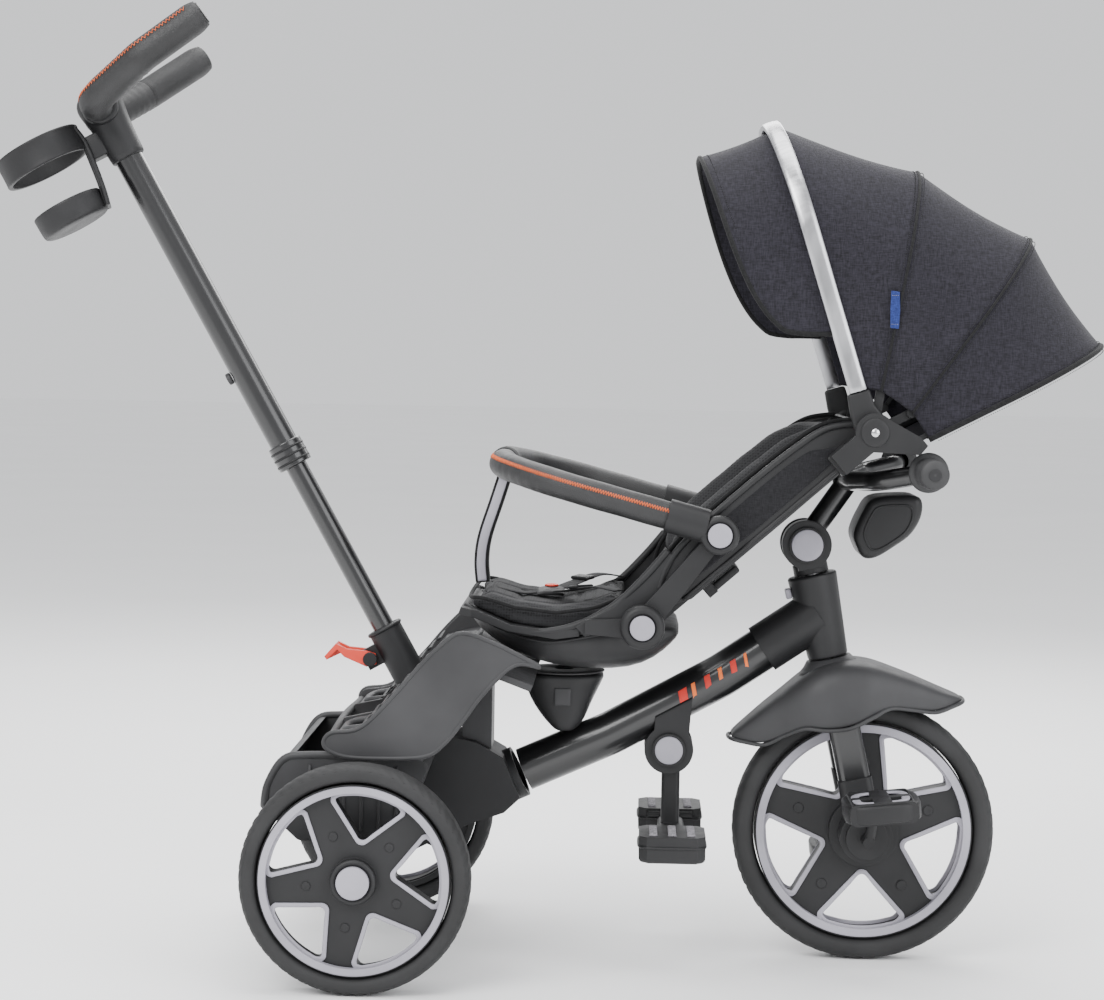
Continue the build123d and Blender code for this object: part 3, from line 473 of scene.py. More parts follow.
def lathe(name, centre, axis, profile, segments=64, closed=True):
    """A profile of (radius, along) millimetres turned about an axis."""
    axis = axis.normalized()
    first = axis.orthogonal().normalized()
    second = axis.cross(first)
    verts, faces = [], []
    n = len(profile)
    for i in range(segments):
        a = math.tau * i / segments
        out = first * math.cos(a) + second * math.sin(a)
        verts += [centre + (out * r + axis * h) * MM for r, h in profile]
    for i in range(segments):
        a, b = i * n, ((i + 1) % segments) * n
        for j in range(n if closed else n - 1):
            k = (j + 1) % n
            faces.append((a + j, b + j, b + k, a + k))
    made = mesh(name, verts, faces)
    tidy = bmesh.new()
    tidy.from_mesh(made.data)
    bmesh.ops.remove_doubles(tidy, verts=tidy.verts, dist=1e-6)
    tidy.to_mesh(made.data)
    tidy.free()
    return made


def button(name, centre, axis, r, height, mat, body, dish=0.0):
    """A round cap with a softly rolled edge; its top is dished or domed by dish."""
    e = min(1.4, height * 0.45)
    profile = [(0, 0), (r, 0), (r, height - e), (r - 0.3 * e, height - 0.3 * e), (r - e, height)]
    profile += [(r * 0.6, height + dish * 0.7), (0, height + dish)]
    return keep(lathe(name, centre, axis, profile, 48, False), mat, body)


def stitches(name, path, out, pitch, width, mat, body, r=0.45, zigzag=True):
    """Sewn thread along a path: a zigzag over a join, or a row of dashes."""
    places = frames(path, out)
    lengths = [0.0]
    for a, b in zip(path, path[1:]):
        lengths.append(lengths[-1] + (b - a).length)
    count = max(2, int(lengths[-1] / (pitch * MM)))
    made, j = [], 0
    points = []
    for k in range(count * 2 + 1):
        target = lengths[-1] * k / (count * 2)
        while j < len(path) - 2 and lengths[j + 1] < target:
            j += 1
        t = (target - lengths[j]) / max(1e-9, lengths[j + 1] - lengths[j])
        p = places[j][0].lerp(places[j + 1][0], t)
        side = places[j][2].lerp(places[j + 1][2], t)
        lift = places[j][1].lerp(places[j + 1][1], t)
        sway = (width / 2 if k % 2 else -width / 2) if zigzag else 0
        points.append((p + side * (sway * MM), lift))
    for k in range(0, len(points) - 1, 1 if zigzag else 2):
        (p, lift), (q, _) = points[k], points[k + 1]
        middle = (p + q) / 2 + lift * (0.35 * MM)
        made.append(swept(name, [p, middle, q], circle(r, 5), lift))
    return keep(joined(name, made), mat, body)


def sewn(obj, cap, pressure=4.0, voxel=5.0, pinned=None):
    """A pad blown up as cloth: remeshed, inflated for 20 frames, held within cap, then smoothed."""
    obj = finished(obj)
    mesher = obj.modifiers.new("voxels", "REMESH")
    mesher.mode = "VOXEL"
    mesher.voxel_size = voxel * MM
    obj = finished(obj)
    start = [v.co.copy() for v in obj.data.vertices]
    cloth = obj.modifiers.new("cloth", "CLOTH")
    cloth.settings.use_pressure = True
    cloth.settings.uniform_pressure_force = pressure
    cloth.settings.effector_weights.gravity = 0
    cloth.settings.quality = 4
    cloth.settings.tension_stiffness = 18
    cloth.settings.compression_stiffness = 12
    cloth.settings.bending_stiffness = 0.6
    for step in range(1, 21):
        bpy.context.scene.frame_set(step)
    obj = finished(obj)
    bpy.context.scene.frame_set(1)
    for v, was in zip(obj.data.vertices, start):
        move = v.co - was
        if pinned:
            move = move * pinned(was)
        if move.length > cap * MM:
            move = move * (cap * MM / move.length)
        v.co = was + move
    relax = obj.modifiers.new("relax", "SMOOTH")
    relax.factor = 0.5
    relax.iterations = 4
    obj = finished(rounded(finished(obj), 1))
    return obj


# ---- canopy: arches in side view as (foot, crown), cloth stretched between them ----
CANOPY_HALF = 158.0
BOW = ((531, 655), (438, 947))
RIB_FRONT = ((556, 655), (603, 901))
RIB_REAR = ((590, 632), (731, 828))
REAR = ((609, 604), (813, 710))
VISOR_BACK = ((513, 716), (440, 945))
VISOR_FRONT = ((474, 716), (358, 914))
LEG_STEPS, ARC_STEPS, TOP_STEPS = 7, 12, 5
CANOPY_MIDDLE = at(585, 0, 690)


def arch_points(arch, grow=0.0, half=CANOPY_HALF, bulge=0.0):
    """Round an arch from the right hem over the crown to the left hem; grow is outwards."""
    foot, crown = at(arch[0][0], 0, arch[0][1]), at(arch[1][0], 0, arch[1][1])
    up = (crown - foot).normalized()
    h = (crown - foot).length / MM + grow
    w = half + grow
    r = min(half * 0.86, (h - grow) * 0.7) + grow
    flat = [(-w, (h - r) * k / LEG_STEPS) for k in range(LEG_STEPS)]
    for k in range(ARC_STEPS):
        a = math.pi / 2 * k / ARC_STEPS
        flat.append((-w + r - r * math.cos(a), h - r + r * math.sin(a)))
    flat += [((-w + r) * (1 - k / TOP_STEPS), h) for k in range(TOP_STEPS)]
    flat = flat + [(0.0, h)] + [(-y, z) for y, z in reversed(flat)]
    forward = Vector((-up.z, 0, up.x))
    found = []
    for y, z in flat:
        lean = bulge * math.sin(math.pi * min(1, max(0, z / h)) ** 0.55)
        found.append(foot + (up * z + forward * lean) * MM + Y * (y * MM))
    return found


def gore(name, first, last, rows, sag, mat, depth=1.3):
    """A cloth panel between two lines of points, drawn in by sag between them."""
    n = len(first)
    verts, along = [], []
    for i in range(rows + 1):
        t = i / rows
        for k, (p, q) in enumerate(zip(first, last)):
            middle = p.lerp(q, t)
            span = min(1.0, (q - p).length / 0.09)
            ripple = 0.5 * math.sin(k * 0.9 + 4.5 * t) + 0.35 * math.sin(k * 2.3 + 9 * t)
            pull = (sag + ripple) * 4 * t * (1 - t) * span
            verts.append(middle + (CANOPY_MIDDLE - middle).normalized() * (pull * MM))
            along.append(t)
    obj = mesh(name, verts, grid_faces(rows, n))
    weight = obj.data.attributes.new("along", "FLOAT", "POINT")
    weight.data.foreach_set("value", along)
    size = area_of(obj)
    thick(obj, depth)
    rounded(obj, 1)
    return keep(finished(obj), mat), size


def area_of(obj):
    return sum(face.area for face in obj.data.polygons)


def line_length(points):
    return sum((b - a).length for a, b in zip(points, points[1:]))


def declare_cloth(obj, first, last, area):
    """Works out the panel's flat cut, as wide as its longer edge and as long as the widest gap; the sizes
    are not kept.
    """
    width = max(line_length(first), line_length(last))
    length = max((q - p).length for p, q in zip(first, last)) * 1.01
    length = max(length, area / width * 1.001)


def bend_by_rows(obj, a, b, first, last):
    """Blends the panel between two ribs, each row of the cloth following its own share."""
    middle = len(first) // 2
    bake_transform(obj, a, b, first[middle], last[middle])
    rows = obj.data.attributes["along"]
    share = obj.data.attributes["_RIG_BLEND"]
    for i in range(len(obj.data.vertices)):
        t = min(1.0, max(0.0, rows.data[i].value))
        share.data[i].value = t * t * (3 - 2 * t)


def offset_arch(arch, by):
    """The same arch moved square to its plane, forward for a positive step."""
    (fx, fz), (cx, cz) = arch
    length = math.hypot(cx - fx, cz - fz)
    nx, nz = (cz - fz) / length * by, -(cx - fx) / length * by
    return (fx + nx, fz + nz), (cx + nx, cz + nz)


def piping(name, points, r, body, mat="binding"):
    path = smooth_path(points, 3)
    out = [(p - CANOPY_MIDDLE).normalized() for p in path]
    return keep(swept(name, path, circle(r, 10), out), mat, body)


def make_canopy():
    ribs = [
        ("bow", offset_arch(BOW, 7), "canopy_bow"),
        ("rib_front", RIB_FRONT, "canopy_rib_front"),
        ("rib_rear", RIB_REAR, "canopy_rib_rear"),
        ("rear", REAR, "backrest"),
    ]
    names = ["canopy_panel_front", "canopy_panel_middle", "canopy_panel_rear"]
    for (_, a, body_a), (_, b, body_b), node in zip(ribs, ribs[1:], names):
        first, last = arch_points(a, -0.6), arch_points(b, -0.6)
        obj, area = gore(node.replace("panel", "cloth"), first, last, 14, 5.0, "canopy_fabric")
        declare_cloth(obj, first, last, area)
        bend_by_rows(obj, body_a, body_b, first, last)
        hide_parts(node)
    for label, arch, body in ribs[1:]:
        seam = arch_points(arch, 0.4)
        piping("canopy_seam_" + label, seam, 1.5, body)
        for side, step in (("a", -5.0), ("b", 5.0)):
            line = smooth_path(arch_points(offset_arch(arch, step), 0.1), 3)
            out = [(p - CANOPY_MIDDLE).normalized() for p in line]
            stitches("canopy_stitch_" + label + "_" + side, line[2:-2], out[0], 2.6, 0, "thread_black",
                body, 0.35, False)
    make_visor()
    make_canopy_end()
    make_canopy_rear_edge()
    make_tag()


def make_visor():
    """Front part of the canopy, ahead of the bow, with its bound edge."""
    first = arch_points(VISOR_BACK, -0.6)
    last = arch_points(VISOR_FRONT, -0.6, bulge=28)
    obj, area = gore("canopy_visor_cloth", first, last, 12, 2.5, "canopy_fabric", 2.2)
    declare_cloth(obj, first, last, area)
    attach(obj, "canopy_bow")
    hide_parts("canopy_visor")
    edge = first[:1] + [first[0].lerp(last[0], t) for t in (0.35, 0.7)] + last
    edge = edge + [last[-1].lerp(first[-1], t) for t in (0.3, 0.65)] + first[-1:]
    piping("canopy_visor_binding", edge, 2.7, "canopy_bow")
    inner = [p.lerp(q, 0.9) for p, q in zip(first, last)]
    line = smooth_path(inner, 3)
    stitches("canopy_visor_stitch", line[2:-2], Vector((-0.5, 0, 0.8)), 2.8, 0, "thread_black",
        "canopy_bow", 0.35, False)


def make_canopy_end():
    """Cloth that closes the rear of the canopy between the rear bow's legs."""
    rim = arch_points(REAR, -0.8)
    count = len(rim)
    verts, rows = [], 10
    foot, crown = at(REAR[0][0], 0, REAR[0][1]), at(REAR[1][0], 0, REAR[1][1])
    drop = Vector(((crown - foot).z, 0, -(crown - foot).x)).normalized()
    half = count // 2
    for i in range(rows + 1):
        t = i / rows
        for k in range(half + 1):
            p, q = rim[k], rim[count - 1 - k]
            point = p.lerp(q, t)
            swell = 4 * t * (1 - t) * math.sin(math.pi * min(1, k / half * 0.9 + 0.05))
            verts.append(point - drop * (2.0 * swell * MM))
    obj = mesh("canopy_end_cloth", verts, grid_faces(rows, half + 1))
    area = area_of(obj)
    thick(obj, 1.2)
    rounded(obj, 1)
    obj = keep(finished(obj), "canopy_fabric", "backrest")


def make_canopy_rear_edge():
    """Bound lower edge of the rear panel."""
    rear = arch_points(REAR, 0.2)
    piping("canopy_rear_binding", rear, 3.0, "backrest")


def make_tag():
    """Small blank woven tag sewn into the seam."""
    y = -CANOPY_HALF - 1.6
    outline = [(564, 724), (573, 723), (574, 744), (573, 763), (564, 764), (563.5, 744)]
    obj = slab("canopy_tag", outline, y - 1.0, y + 0.6)
    keep(finished(soften(obj, 0.4, 2)), "tag_blue", "canopy_rib_front", False)
    for z in (728, 759):
        path = [at(565 + k * 2, y - 1.05, z) for k in range(5)]
        stitches("canopy_tag_stitch_" + str(z), path, Vector((0, -1, 0)), 1.6, 0, "strap_grey",
            "canopy_rib_front", 0.25, False)


make_canopy()


def make_bow():
    """Brushed bow that stands over the cloth, flat on the outside with rolled edges."""
    path = smooth_path(arch_points(BOW, 3.6), 3)
    out = [(p - at(531, 0, 660)).normalized() for p in path]
    for i, p in enumerate(path):
        flat = Vector((0, 1 if p.y > 0 else -1, 0))
        high = min(1.0, max(0.0, (abs(p.y) / MM - 100) / 58))
        up_axis = (at(438, 0, 947) - at(531, 0, 655)).normalized()
        out[i] = (up_axis * (1 - high) + flat * high).normalized() if high < 1 else flat
    section = [(-9.6, -2.6), (-8.2, -3.6), (8.2, -3.6), (9.6, -2.6), (9.6, 2.2), (8.0, 3.6), (4, 4.2),
        (-4, 4.2), (-8.0, 3.6), (-9.6, 2.2)]
    obj = swept("canopy_bow_metal", path, section, out)
    keep(finished(soften(obj, 0.5, 2, 40)), "bow_metal", "canopy_bow")


def make_bow_sockets():
    """Black elbow that holds each foot of the bow, with a disc round the hinge pin."""
    outline = [(531, 601), (551, 601), (563, 625), (549, 641), (543, 658), (519, 651), (523, 630)]
    for side, name in SIDES:
        y0, y1 = (154.7, 164.5) if side > 0 else (-164.5, -154.7)
        elbow = slab("canopy_elbow_" + name, outline, y0, y1)
        keep(finished(soften(elbow, 3.2, 4, 40)), "shell_black", "canopy_bow")
        outward = Vector((0, side, 0))
        profile = [(5.2, 0), (18.6, 0), (20, 1.4), (20, 8.6), (18.6, 10), (5.2, 10)]
        disc = lathe("canopy_disc_" + name, HINGE + outward * (154.6 * MM), outward, profile, 56)
        keep(disc, "shell_black", "canopy_bow")
        if side < 0:
            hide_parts("canopy_bow")


make_bow()
make_bow_sockets()


# ---- seat, backrest and bumper bar ----
def arced(points, radii, steps=10):
    """Straight runs joined by arcs."""
    found = [points[0]]
    for i in range(1, len(points) - 1):
        p, a, b = points[i], points[i - 1] - points[i], points[i + 1] - points[i]
        da, db = a.normalized(), b.normalized()
        angle = da.angle(db)
        r = radii[i - 1] * MM
        reach = min(r / math.tan(angle / 2), a.length * 0.98, b.length * 0.98)
        r = reach * math.tan(angle / 2)
        middle = p + (da + db).normalized() * (r / math.sin(angle / 2))
        start, stop = p + da * reach - middle, p + db * reach - middle
        sweep_angle = start.angle(stop)
        for k in range(steps + 1):
            t = k / steps
            blend = start * math.sin((1 - t) * sweep_angle) + stop * math.sin(t * sweep_angle)
            found.append(middle + blend / math.sin(sweep_angle))
    found.append(points[-1])
    return found


def divided(path, step):
    """The same path with a point about every step millimetres."""
    found = [path[0]]
    for a, b in zip(path, path[1:]):
        count = max(1, round((b - a).length / (step * MM)))
        found += [a.lerp(b, (k + 1) / count) for k in range(count)]
    return found


def curve_at(points, x):
    """Height of a line of (x, height) points at x, in a straight line between them."""
    if x <= points[0][0]:
        return points[0][1]
    for (x0, z0), (x1, z1) in zip(points, points[1:]):
        if x <= x1:
            t = (x - x0) / (x1 - x0)
            return z0 + (z1 - z0) * t
    return points[-1][1]


def pad_mesh(name, xs, ys, top, bottom, place):
    """A closed pad from a grid: top and bottom give heights, place turns (x, y, z) into the row frame."""
    verts, faces = [], []
    rows, cols = len(xs), len(ys)
    for level in (bottom, top):
        for x in xs:
            verts += [place(x, share, level(x, share)) for share in ys]
    for layer in (0, 1):
        base = layer * rows * cols
        for i in range(rows - 1):
            for j in range(cols - 1):
                faces.append((base + i * cols + j, base + i * cols + j + 1,
                    base + (i + 1) * cols + j + 1, base + (i + 1) * cols + j))
    ring = [j for j in range(cols)] + [i * cols + cols - 1 for i in range(1, rows)]
    ring += [(rows - 1) * cols + j for j in range(cols - 2, -1, -1)] + [i * cols
        for i in range(rows - 2, 0, -1)]
    layer = rows * cols
    for a, b in zip(ring, ring[1:] + ring[:1]):
        faces.append((a, b, layer + b, layer + a))
    return mesh(name, verts, faces)


def steps(a, b, count):
    return [a + (b - a) * k / count for k in range(count + 1)]


FAR = 99


def pressed(obj, groove, depth, out):
    """Pulls a sewn channel into a pad: groove(point) is the distance from the seam in millimetres."""
    for v in obj.data.vertices:
        distance = groove(v.co)
        if distance < 14:
            v.co -= out * (depth * MM * math.exp(-((distance / 4.5) ** 2)))


SEAT_TOP = [(110, 419), (128, 419), (162, 409), (208, 404), (250, 410), (284, 424)]
SEAT_BOTTOM = [(110, 412), (124, 409.5), (160, 395), (208, 388), (262, 397.5), (286, 409)]


def seat_half_width(x):
    width = math.sqrt(max(1.0, 152 ** 2 - (x - 211) ** 2))
    return min(width, 124.0)


def seat_seam_length(p, y):
    """Distance from a lengthwise seam of the cushion, on its upper side only."""
    above = at(0, 0, curve_at(SEAT_BOTTOM, (p.x - REAR_AXLE.x) / MM) + 7).z
    return abs(p.y / MM - y) if p.z > above else FAR


def seat_seam_across(p, x):
    above = at(0, 0, curve_at(SEAT_BOTTOM, x) + 7).z
    return abs((p.x - REAR_AXLE.x) / MM - x) if abs(p.y) < 0.062 and p.z > above else FAR


def make_seat_cushion():
    def place(x, share, z):
        return at(x, share * seat_half_width(x), z)

    def top(x, share):
        edge = max(0.0, abs(share) - 0.72) / 0.28
        return curve_at(SEAT_TOP, x) + 5.0 * edge - 2.5 * max(0, edge - 0.7) / 0.3

    obj = pad_mesh("seat_cushion_pad", steps(112, 284, 22), steps(-1, 1, 26), top,
        lambda x, s: curve_at(SEAT_BOTTOM, x) + 1.5, place)
    obj = sewn(obj, 5.0, 3.5)
    seams = [-62, 62]
    for y in seams:
        pressed(obj, lambda p, y=y: seat_seam_length(p, y), 3.2, Z)
    for x in (166, 232):
        pressed(obj, lambda p, x=x: seat_seam_across(p, x), 2.6, Z)
    keep(obj, "seat_fabric", "seat")
    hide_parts("seat_cushion")
    for y in seams:
        path = [at(x, y, curve_at(SEAT_TOP, x) + 2.4) for x in steps(122, 276, 30)]
        stitches(f"seat_stitch_{'left' if y > 0 else 'right'}", path, Z, 4.0, 0, "thread_black", "seat",
            0.5, False)
    edge = [at(x, -seat_half_width(x) - 1.5, curve_at(SEAT_TOP, x) + 1.0) for x in steps(116, 282, 18)]
    front = [at(112 - 2 * math.cos(a), 96 * math.sin(a), 419) for a in steps(-1.4, 1.4, 12)]
    rest = [at(x, seat_half_width(x) + 1.5, curve_at(SEAT_TOP, x) + 1.0) for x in steps(116, 282, 18)]
    path = smooth_path(list(reversed(edge)) + front + rest, 3)
    keep(swept("seat_piping", path, circle(2.3, 10), Z), "binding", "seat")


def make_seat_rim():
    """Rolled rim of the seat that sweeps up beside the backrest, with the skirt below it."""
    rim = [(108, 409), (123, 402), (151, 389), (186, 384), (229, 392), (271, 415), (304, 447), (330, 478)]
    for side, name in SIDES:
        ys = [108, 124, 133, 136, 136.5, 140, 143.2, 143.2]
        path = smooth_path([at(x, side * y, z) for (x, z), y in zip(rim, ys)], 8)
        keep(swept("seat_rim_" + name, path, circle(4.4, 12), Y * side), "shell_black", "seat")
        below = [(338, 470), (322, 436), (300, 407), (276, 392)]
        outline = [(x, z) for x, z in rim[4:]] + below + [(240, 381)]
        skirt = slab("seat_skirt_" + name, outline, side * 142.0, side * 145.2)
        keep(finished(soften(skirt, 1.2, 3)), "shell_black", "seat", False)


WING = [(58, 38), (84, 54), (120, 60), (200, 60), (250, 58), (285, 48), (314, 26)]


def make_back_pad():
    """Padding with raised wings, swept forward at the sides of the child."""
    def place(u, share, w):
        return back(u, share * 125, w)

    def top(u, share):
        wing = min(1.0, max(0.0, (abs(share) - 0.66) / 0.22))
        wing = wing * wing * (3 - 2 * wing)
        crown = 4.5 * math.cos(share * 1.9)
        return 24 + crown + wing * (curve_at(WING, u) - 28)

    def bottom(u, share):
        return -1.5

    obj = pad_mesh("back_pad_cloth", steps(64, 312, 34), steps(-1, 1, 44), top, bottom, place)
    obj = sewn(obj, 5.5, 3.5, pinned=lambda p: 0.25 if abs(p.y) > 0.119 else 1.0)
    shallow = back(0, 0, 12).dot(BACK_Z)
    for y in (-66, 0, 66):
        pressed(obj, lambda p, y=y: abs(p.y / MM - y) if p.dot(BACK_Z) > shallow else FAR,
            3.4 if y else 2.0, BACK_Z)
    for u in (128, 196, 262):
        line = back(u, 0, 0).dot(BACK_X)

        def across(p, line=line):
            inside = p.dot(BACK_Z) > shallow and abs(p.y) < 0.066
            return abs(p.dot(BACK_X) - line) / MM if inside else FAR

        pressed(obj, across, 3.0, BACK_Z)
    keep(obj, "seat_fabric", "backrest")
    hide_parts("back_pad")
    for side, name in SIDES:
        path = [back(u, side * 66, 29.5) for u in steps(80, 300, 40)]
        stitches("back_stitch_" + name, path, BACK_Z, 4.2, 0, "thread_black", "backrest", 0.5, False)


def make_back_sides():
    """Moulded side walls of the backrest with their rolled beads and fabric panels."""
    top = [(40, 20), (64, 34), (104, 42), (190, 44), (252, 42), (292, 36), (322, 18)]
    low = [(322, -6), (300, -12), (200, -13), (60, -13), (40, -6)]
    for side, name in SIDES:
        line = smooth_path([Vector((u, w, 0)) for u, w in top], 5)
        outline = [(p.x, p.y) for p in line] + low
        verts = [back(u, side * y, w) for y in (136.5, 143.0) for u, w in outline]
        wall = mesh("back_wall_" + name, verts, prism_faces(len(outline)))
        keep(finished(soften(wall, 2.4, 4)), "shell_black", "backrest")
        bead = [back(u, side * 142, w - 1.5) for u, w in top]
        keep(swept("back_bead_" + name, smooth_path(bead, 8), circle(4.0, 12), BACK_Z), "shell_black",
            "backrest")
        inner = [back(u, side * 133, w + 4.5) for u, w in top]
        keep(swept("back_piping_" + name, smooth_path(inner, 8), circle(2.6, 10), BACK_Z), "binding",
            "backrest")
        lower = [back(u, side * 143.4, -7) for u in steps(52, 306, 12)]
        keep(swept("back_groove_" + name, lower, circle(2.2, 10), BACK_Z), "shell_black", "backrest")
        panel = [(70, 2), (74, 22), (110, 31), (190, 33), (246, 31), (270, 24), (276, 2)]
        line = smooth_path([Vector((u, w, 0)) for u, w in panel], 5, True)
        verts = [back(p.x, side * 142.6, p.y) for p in line]
        verts += [back(173 + (p.x - 173) * 0.975, side * 145.6, 14 + (p.y - 14) * 0.86) for p in line]
        cover = mesh("back_panel_" + name, verts, prism_faces(len(line)))
        cover = keep(finished(soften(cover, 1.0, 3, 20)), "lining", "backrest")


BAR_END = BUMPER + Vector((-0.034, 0, 0.014))
BAR_TIP = BAR_END + Vector((-0.236 * 0.88, 0, 0.055))


def bar_path():
    points = [BAR_END - Y * 0.16, BAR_TIP - Y * 0.16, BAR_TIP + Y * 0.16, BAR_END + Y * 0.16]
    return divided(arced(points, [105, 105], 16), 3.2)


def make_bumper_bar():
    """Leatherette sleeve over foam, gathered at the bends, sewn with an orange zigzag."""
    path = bar_path()
    lift = Vector((0.25, 0, 1)).normalized()
    places = frames(path, lift)
    section = circle(15.4, 28)
    verts = []
    n = len(section)
    for i, (p, up, side) in enumerate(places):
        bent = max(0.0, 1 - abs(abs(p.y) / MM - 132) / 42)
        for k, (s, h) in enumerate(section):
            a = math.tau * k / n
            inside = max(0.0, -math.cos(a))
            crease = 0.55 * bent * inside * math.sin(i * 1.7 + 0.6 * math.sin(a * 3))
            slow = 0.12 * math.sin(i * 0.35 + a * 2)
            scale = 1 - (0.35 * math.exp(-((a - math.radians(22)) / 0.07) ** 2) - crease - slow) / 15.4
            verts.append(p + (side * s + up * h) * (scale * MM))
    obj = keep(mesh("bumper_bar_sleeve", verts, ring_faces(len(places), n)), "leatherette", "bumper_bar")
    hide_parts("bumper_bar")
    centre = Vector((BUMPER.x + 0.02, 0, BUMPER.z))
    seam = []
    for p, up, side in places[3:-3]:
        away = (p - centre)
        away.z = 0
        outward = side if side.dot(away) > 0 else -side
        a = math.radians(22)
        seam.append((p + (outward * math.cos(a) + up * math.sin(a)) * (15.45 * MM),
            (outward * math.cos(a) + up * math.sin(a)).normalized()))
    line = [s[0] for s in seam]
    stitches("bumper_bar_stitch", line, [s[1] for s in seam], 2.9, 4.4, "thread_orange", "bumper_bar", 0.55)


def make_crotch_strap():
    """Post from the bar down between the child's legs, its sides inlaid in light grey; it is carried stiffly
    by the bar.
    """
    path = smooth_path([at(143, 0, 549), at(134, 0, 520), at(121.5, 0, 480), at(118, 0, 452),
        at(120, 0, 427)], 8)
    section = [(-13, -8), (13, -8), (14.5, -5), (14.5, 5), (13, 8), (-13, 8), (-14.5, 5), (-14.5, -5)]
    post = swept("crotch_post_web", path, section, Vector((-1, 0, 0.2)))
    keep(finished(soften(post, 1.5, 3, 30)), "binding", "bumper_bar")
    for y in (-14.2, 14.2):
        name = "left" if y > 0 else "right"
        line = [p + Y * (y * MM) for p in path[1:-1]]
        inlay = swept("crotch_inlay_" + name, line, strap_section(10, 2.0), Y)
        keep(inlay, "trim_grey", "bumper_bar")
    cuff = [Vector((BAR_TIP.x, y * MM, BAR_TIP.z)) for y in steps(-22, 22, 6)]
    keep(finished(soften(swept("crotch_cuff", cuff, circle(16.3, 32), Z), 0.8, 2, 50)), "binding",
        "bumper_bar")
    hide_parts("crotch_post")


def make_harness():
    """Shoulder pads on the backrest, and the lap strap with its buckle on the seat."""
    for side, name in SIDES:
        run = smooth_path([back(u, side * y, w) for u, y, w in ((236, 36, 30), (200, 38, 36),
            (150, 42, 38.5), (98, 46, 38), (70, 50, 33))], 6)
        keep(swept("harness_strap_" + name, run, strap_section(22, 1.6), BACK_Z), "webbing", "backrest")
        sleeve = run[5:18]
        swell = swept("harness_pad_" + name, sleeve, strap_section(36, 5.6), BACK_Z,
            lambda t: 0.84 + 0.16 * math.sin(math.pi * t) ** 0.35)
        swell = keep(finished(rounded(finished(soften(swell, 2.2, 2, 20)), 1)), "strap_grey", "backrest")
        lap = [at(276, side * 96, 428), at(252, side * 82, 431), at(226, side * 52, 424),
            at(209, side * 22, 419)]
        keep(swept("lap_strap_" + name, smooth_path(lap, 6), strap_section(20, 1.6), Z), "webbing", "seat")
        ladder = [at(238, side * 66, 429.4), at(229, side * 56, 427.6)]
        keep(finished(soften(swept("lap_adjuster_" + name, ladder, strap_section(27, 4.4), Z), 0.8, 2)),
            "shell_black", "seat")
    body = pad_mesh("harness_buckle", steps(183, 214, 8), steps(-1, 1, 8),
        lambda x, s: 424 - 5 * s * s - 0.012 * (x - 199) ** 2, lambda x, s: 414, lambda x, s, z: at(x,
        s * 21, z))
    keep(finished(rounded(finished(soften(body, 1.2, 2)), 1)), "shell_black", "seat")
    button("buckle_button", at(199, 0, 423.4), Z, 8, 2.0, "red_plastic", "seat", 0.8)
    tail = smooth_path([at(184, 0, 416), at(168, 0, 415), at(150, 0, 418), at(136, 0, 421)], 6)
    keep(swept("crotch_web", tail, strap_section(24, 1.8), Z), "webbing", "seat")


make_seat_cushion()
make_seat_rim()
make_back_pad()
make_back_sides()
make_bumper_bar()
make_crotch_strap()
make_harness()


# ---- push handle, handlebar grips and cup holder ----
def grip_path(side):
    points = [(-2, side * 10, 680), (-8, side * 66, 681), (62, side * 112, 692), (142, side * 124, 702)]
    return divided(arced([handle(*p) for p in points], [38, 34], 14), 3.0)


def make_push_grips():
    """Leatherette grips: gathered at the bend on one side, an orange zigzag seam on top."""
    for side, name in SIDES:
        path = grip_path(side)[5:]
        places = frames(path, HANDLE_UP)
        n, count = 26, len(places)
        verts = []
        for i, (p, up, across) in enumerate(places):
            t = i / (count - 1)
            bent = math.exp(-((t - 0.45) / 0.16) ** 2)
            end = 1 - 0.16 * max(0.0, (t - 0.93) / 0.07) ** 2 - 0.10 * max(0.0, (0.05 - t) / 0.05)
            for k in range(n):
                a = math.tau * k / n
                inner = 0.5 + 0.5 * math.cos(a + (0 if side > 0 else math.pi))
                fold = 0.65 * bent * math.sin(i * 1.9 + 0.8 * math.sin(2 * a)) * inner
                seam = -0.4 * math.exp(-((a - math.pi / 2) / 0.08) ** 2)
                r = (18.2 + fold + seam) * end
                verts.append(p + (across * math.cos(a) + up * math.sin(a)) * (r * MM))
        obj = mesh("push_grip_" + name, verts, ring_faces(count, n))
        obj = keep(finished(soften(obj, 1.6, 3, 60)), "leatherette", "push_handle")
        if side < 0:
            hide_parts("push_grips")
        away = [a if a.dot(Y * side - TWIST_X) > 0 else -a for _, _, a in places]
        ups = [(u * math.sin(0.75) + a * math.cos(0.75)).normalized() for (_, u, _), a in zip(places,
            away)][4:-4]
        line = [p + u * (18.5 * MM) for (p, _, _), u in zip(places[4:-4], ups)]
        stitches("push_grip_stitch_" + name, line, ups, 4.6, 5.4, "thread_orange", "push_handle", 0.42)
        tip, back_one = path[-1], path[-3]
        along = (tip - back_one).normalized()
        button("push_grip_cap_" + name, tip - along * (1.0 * MM), along, 13.5, 2.6, "shell_black",
            "push_handle", 0.8)


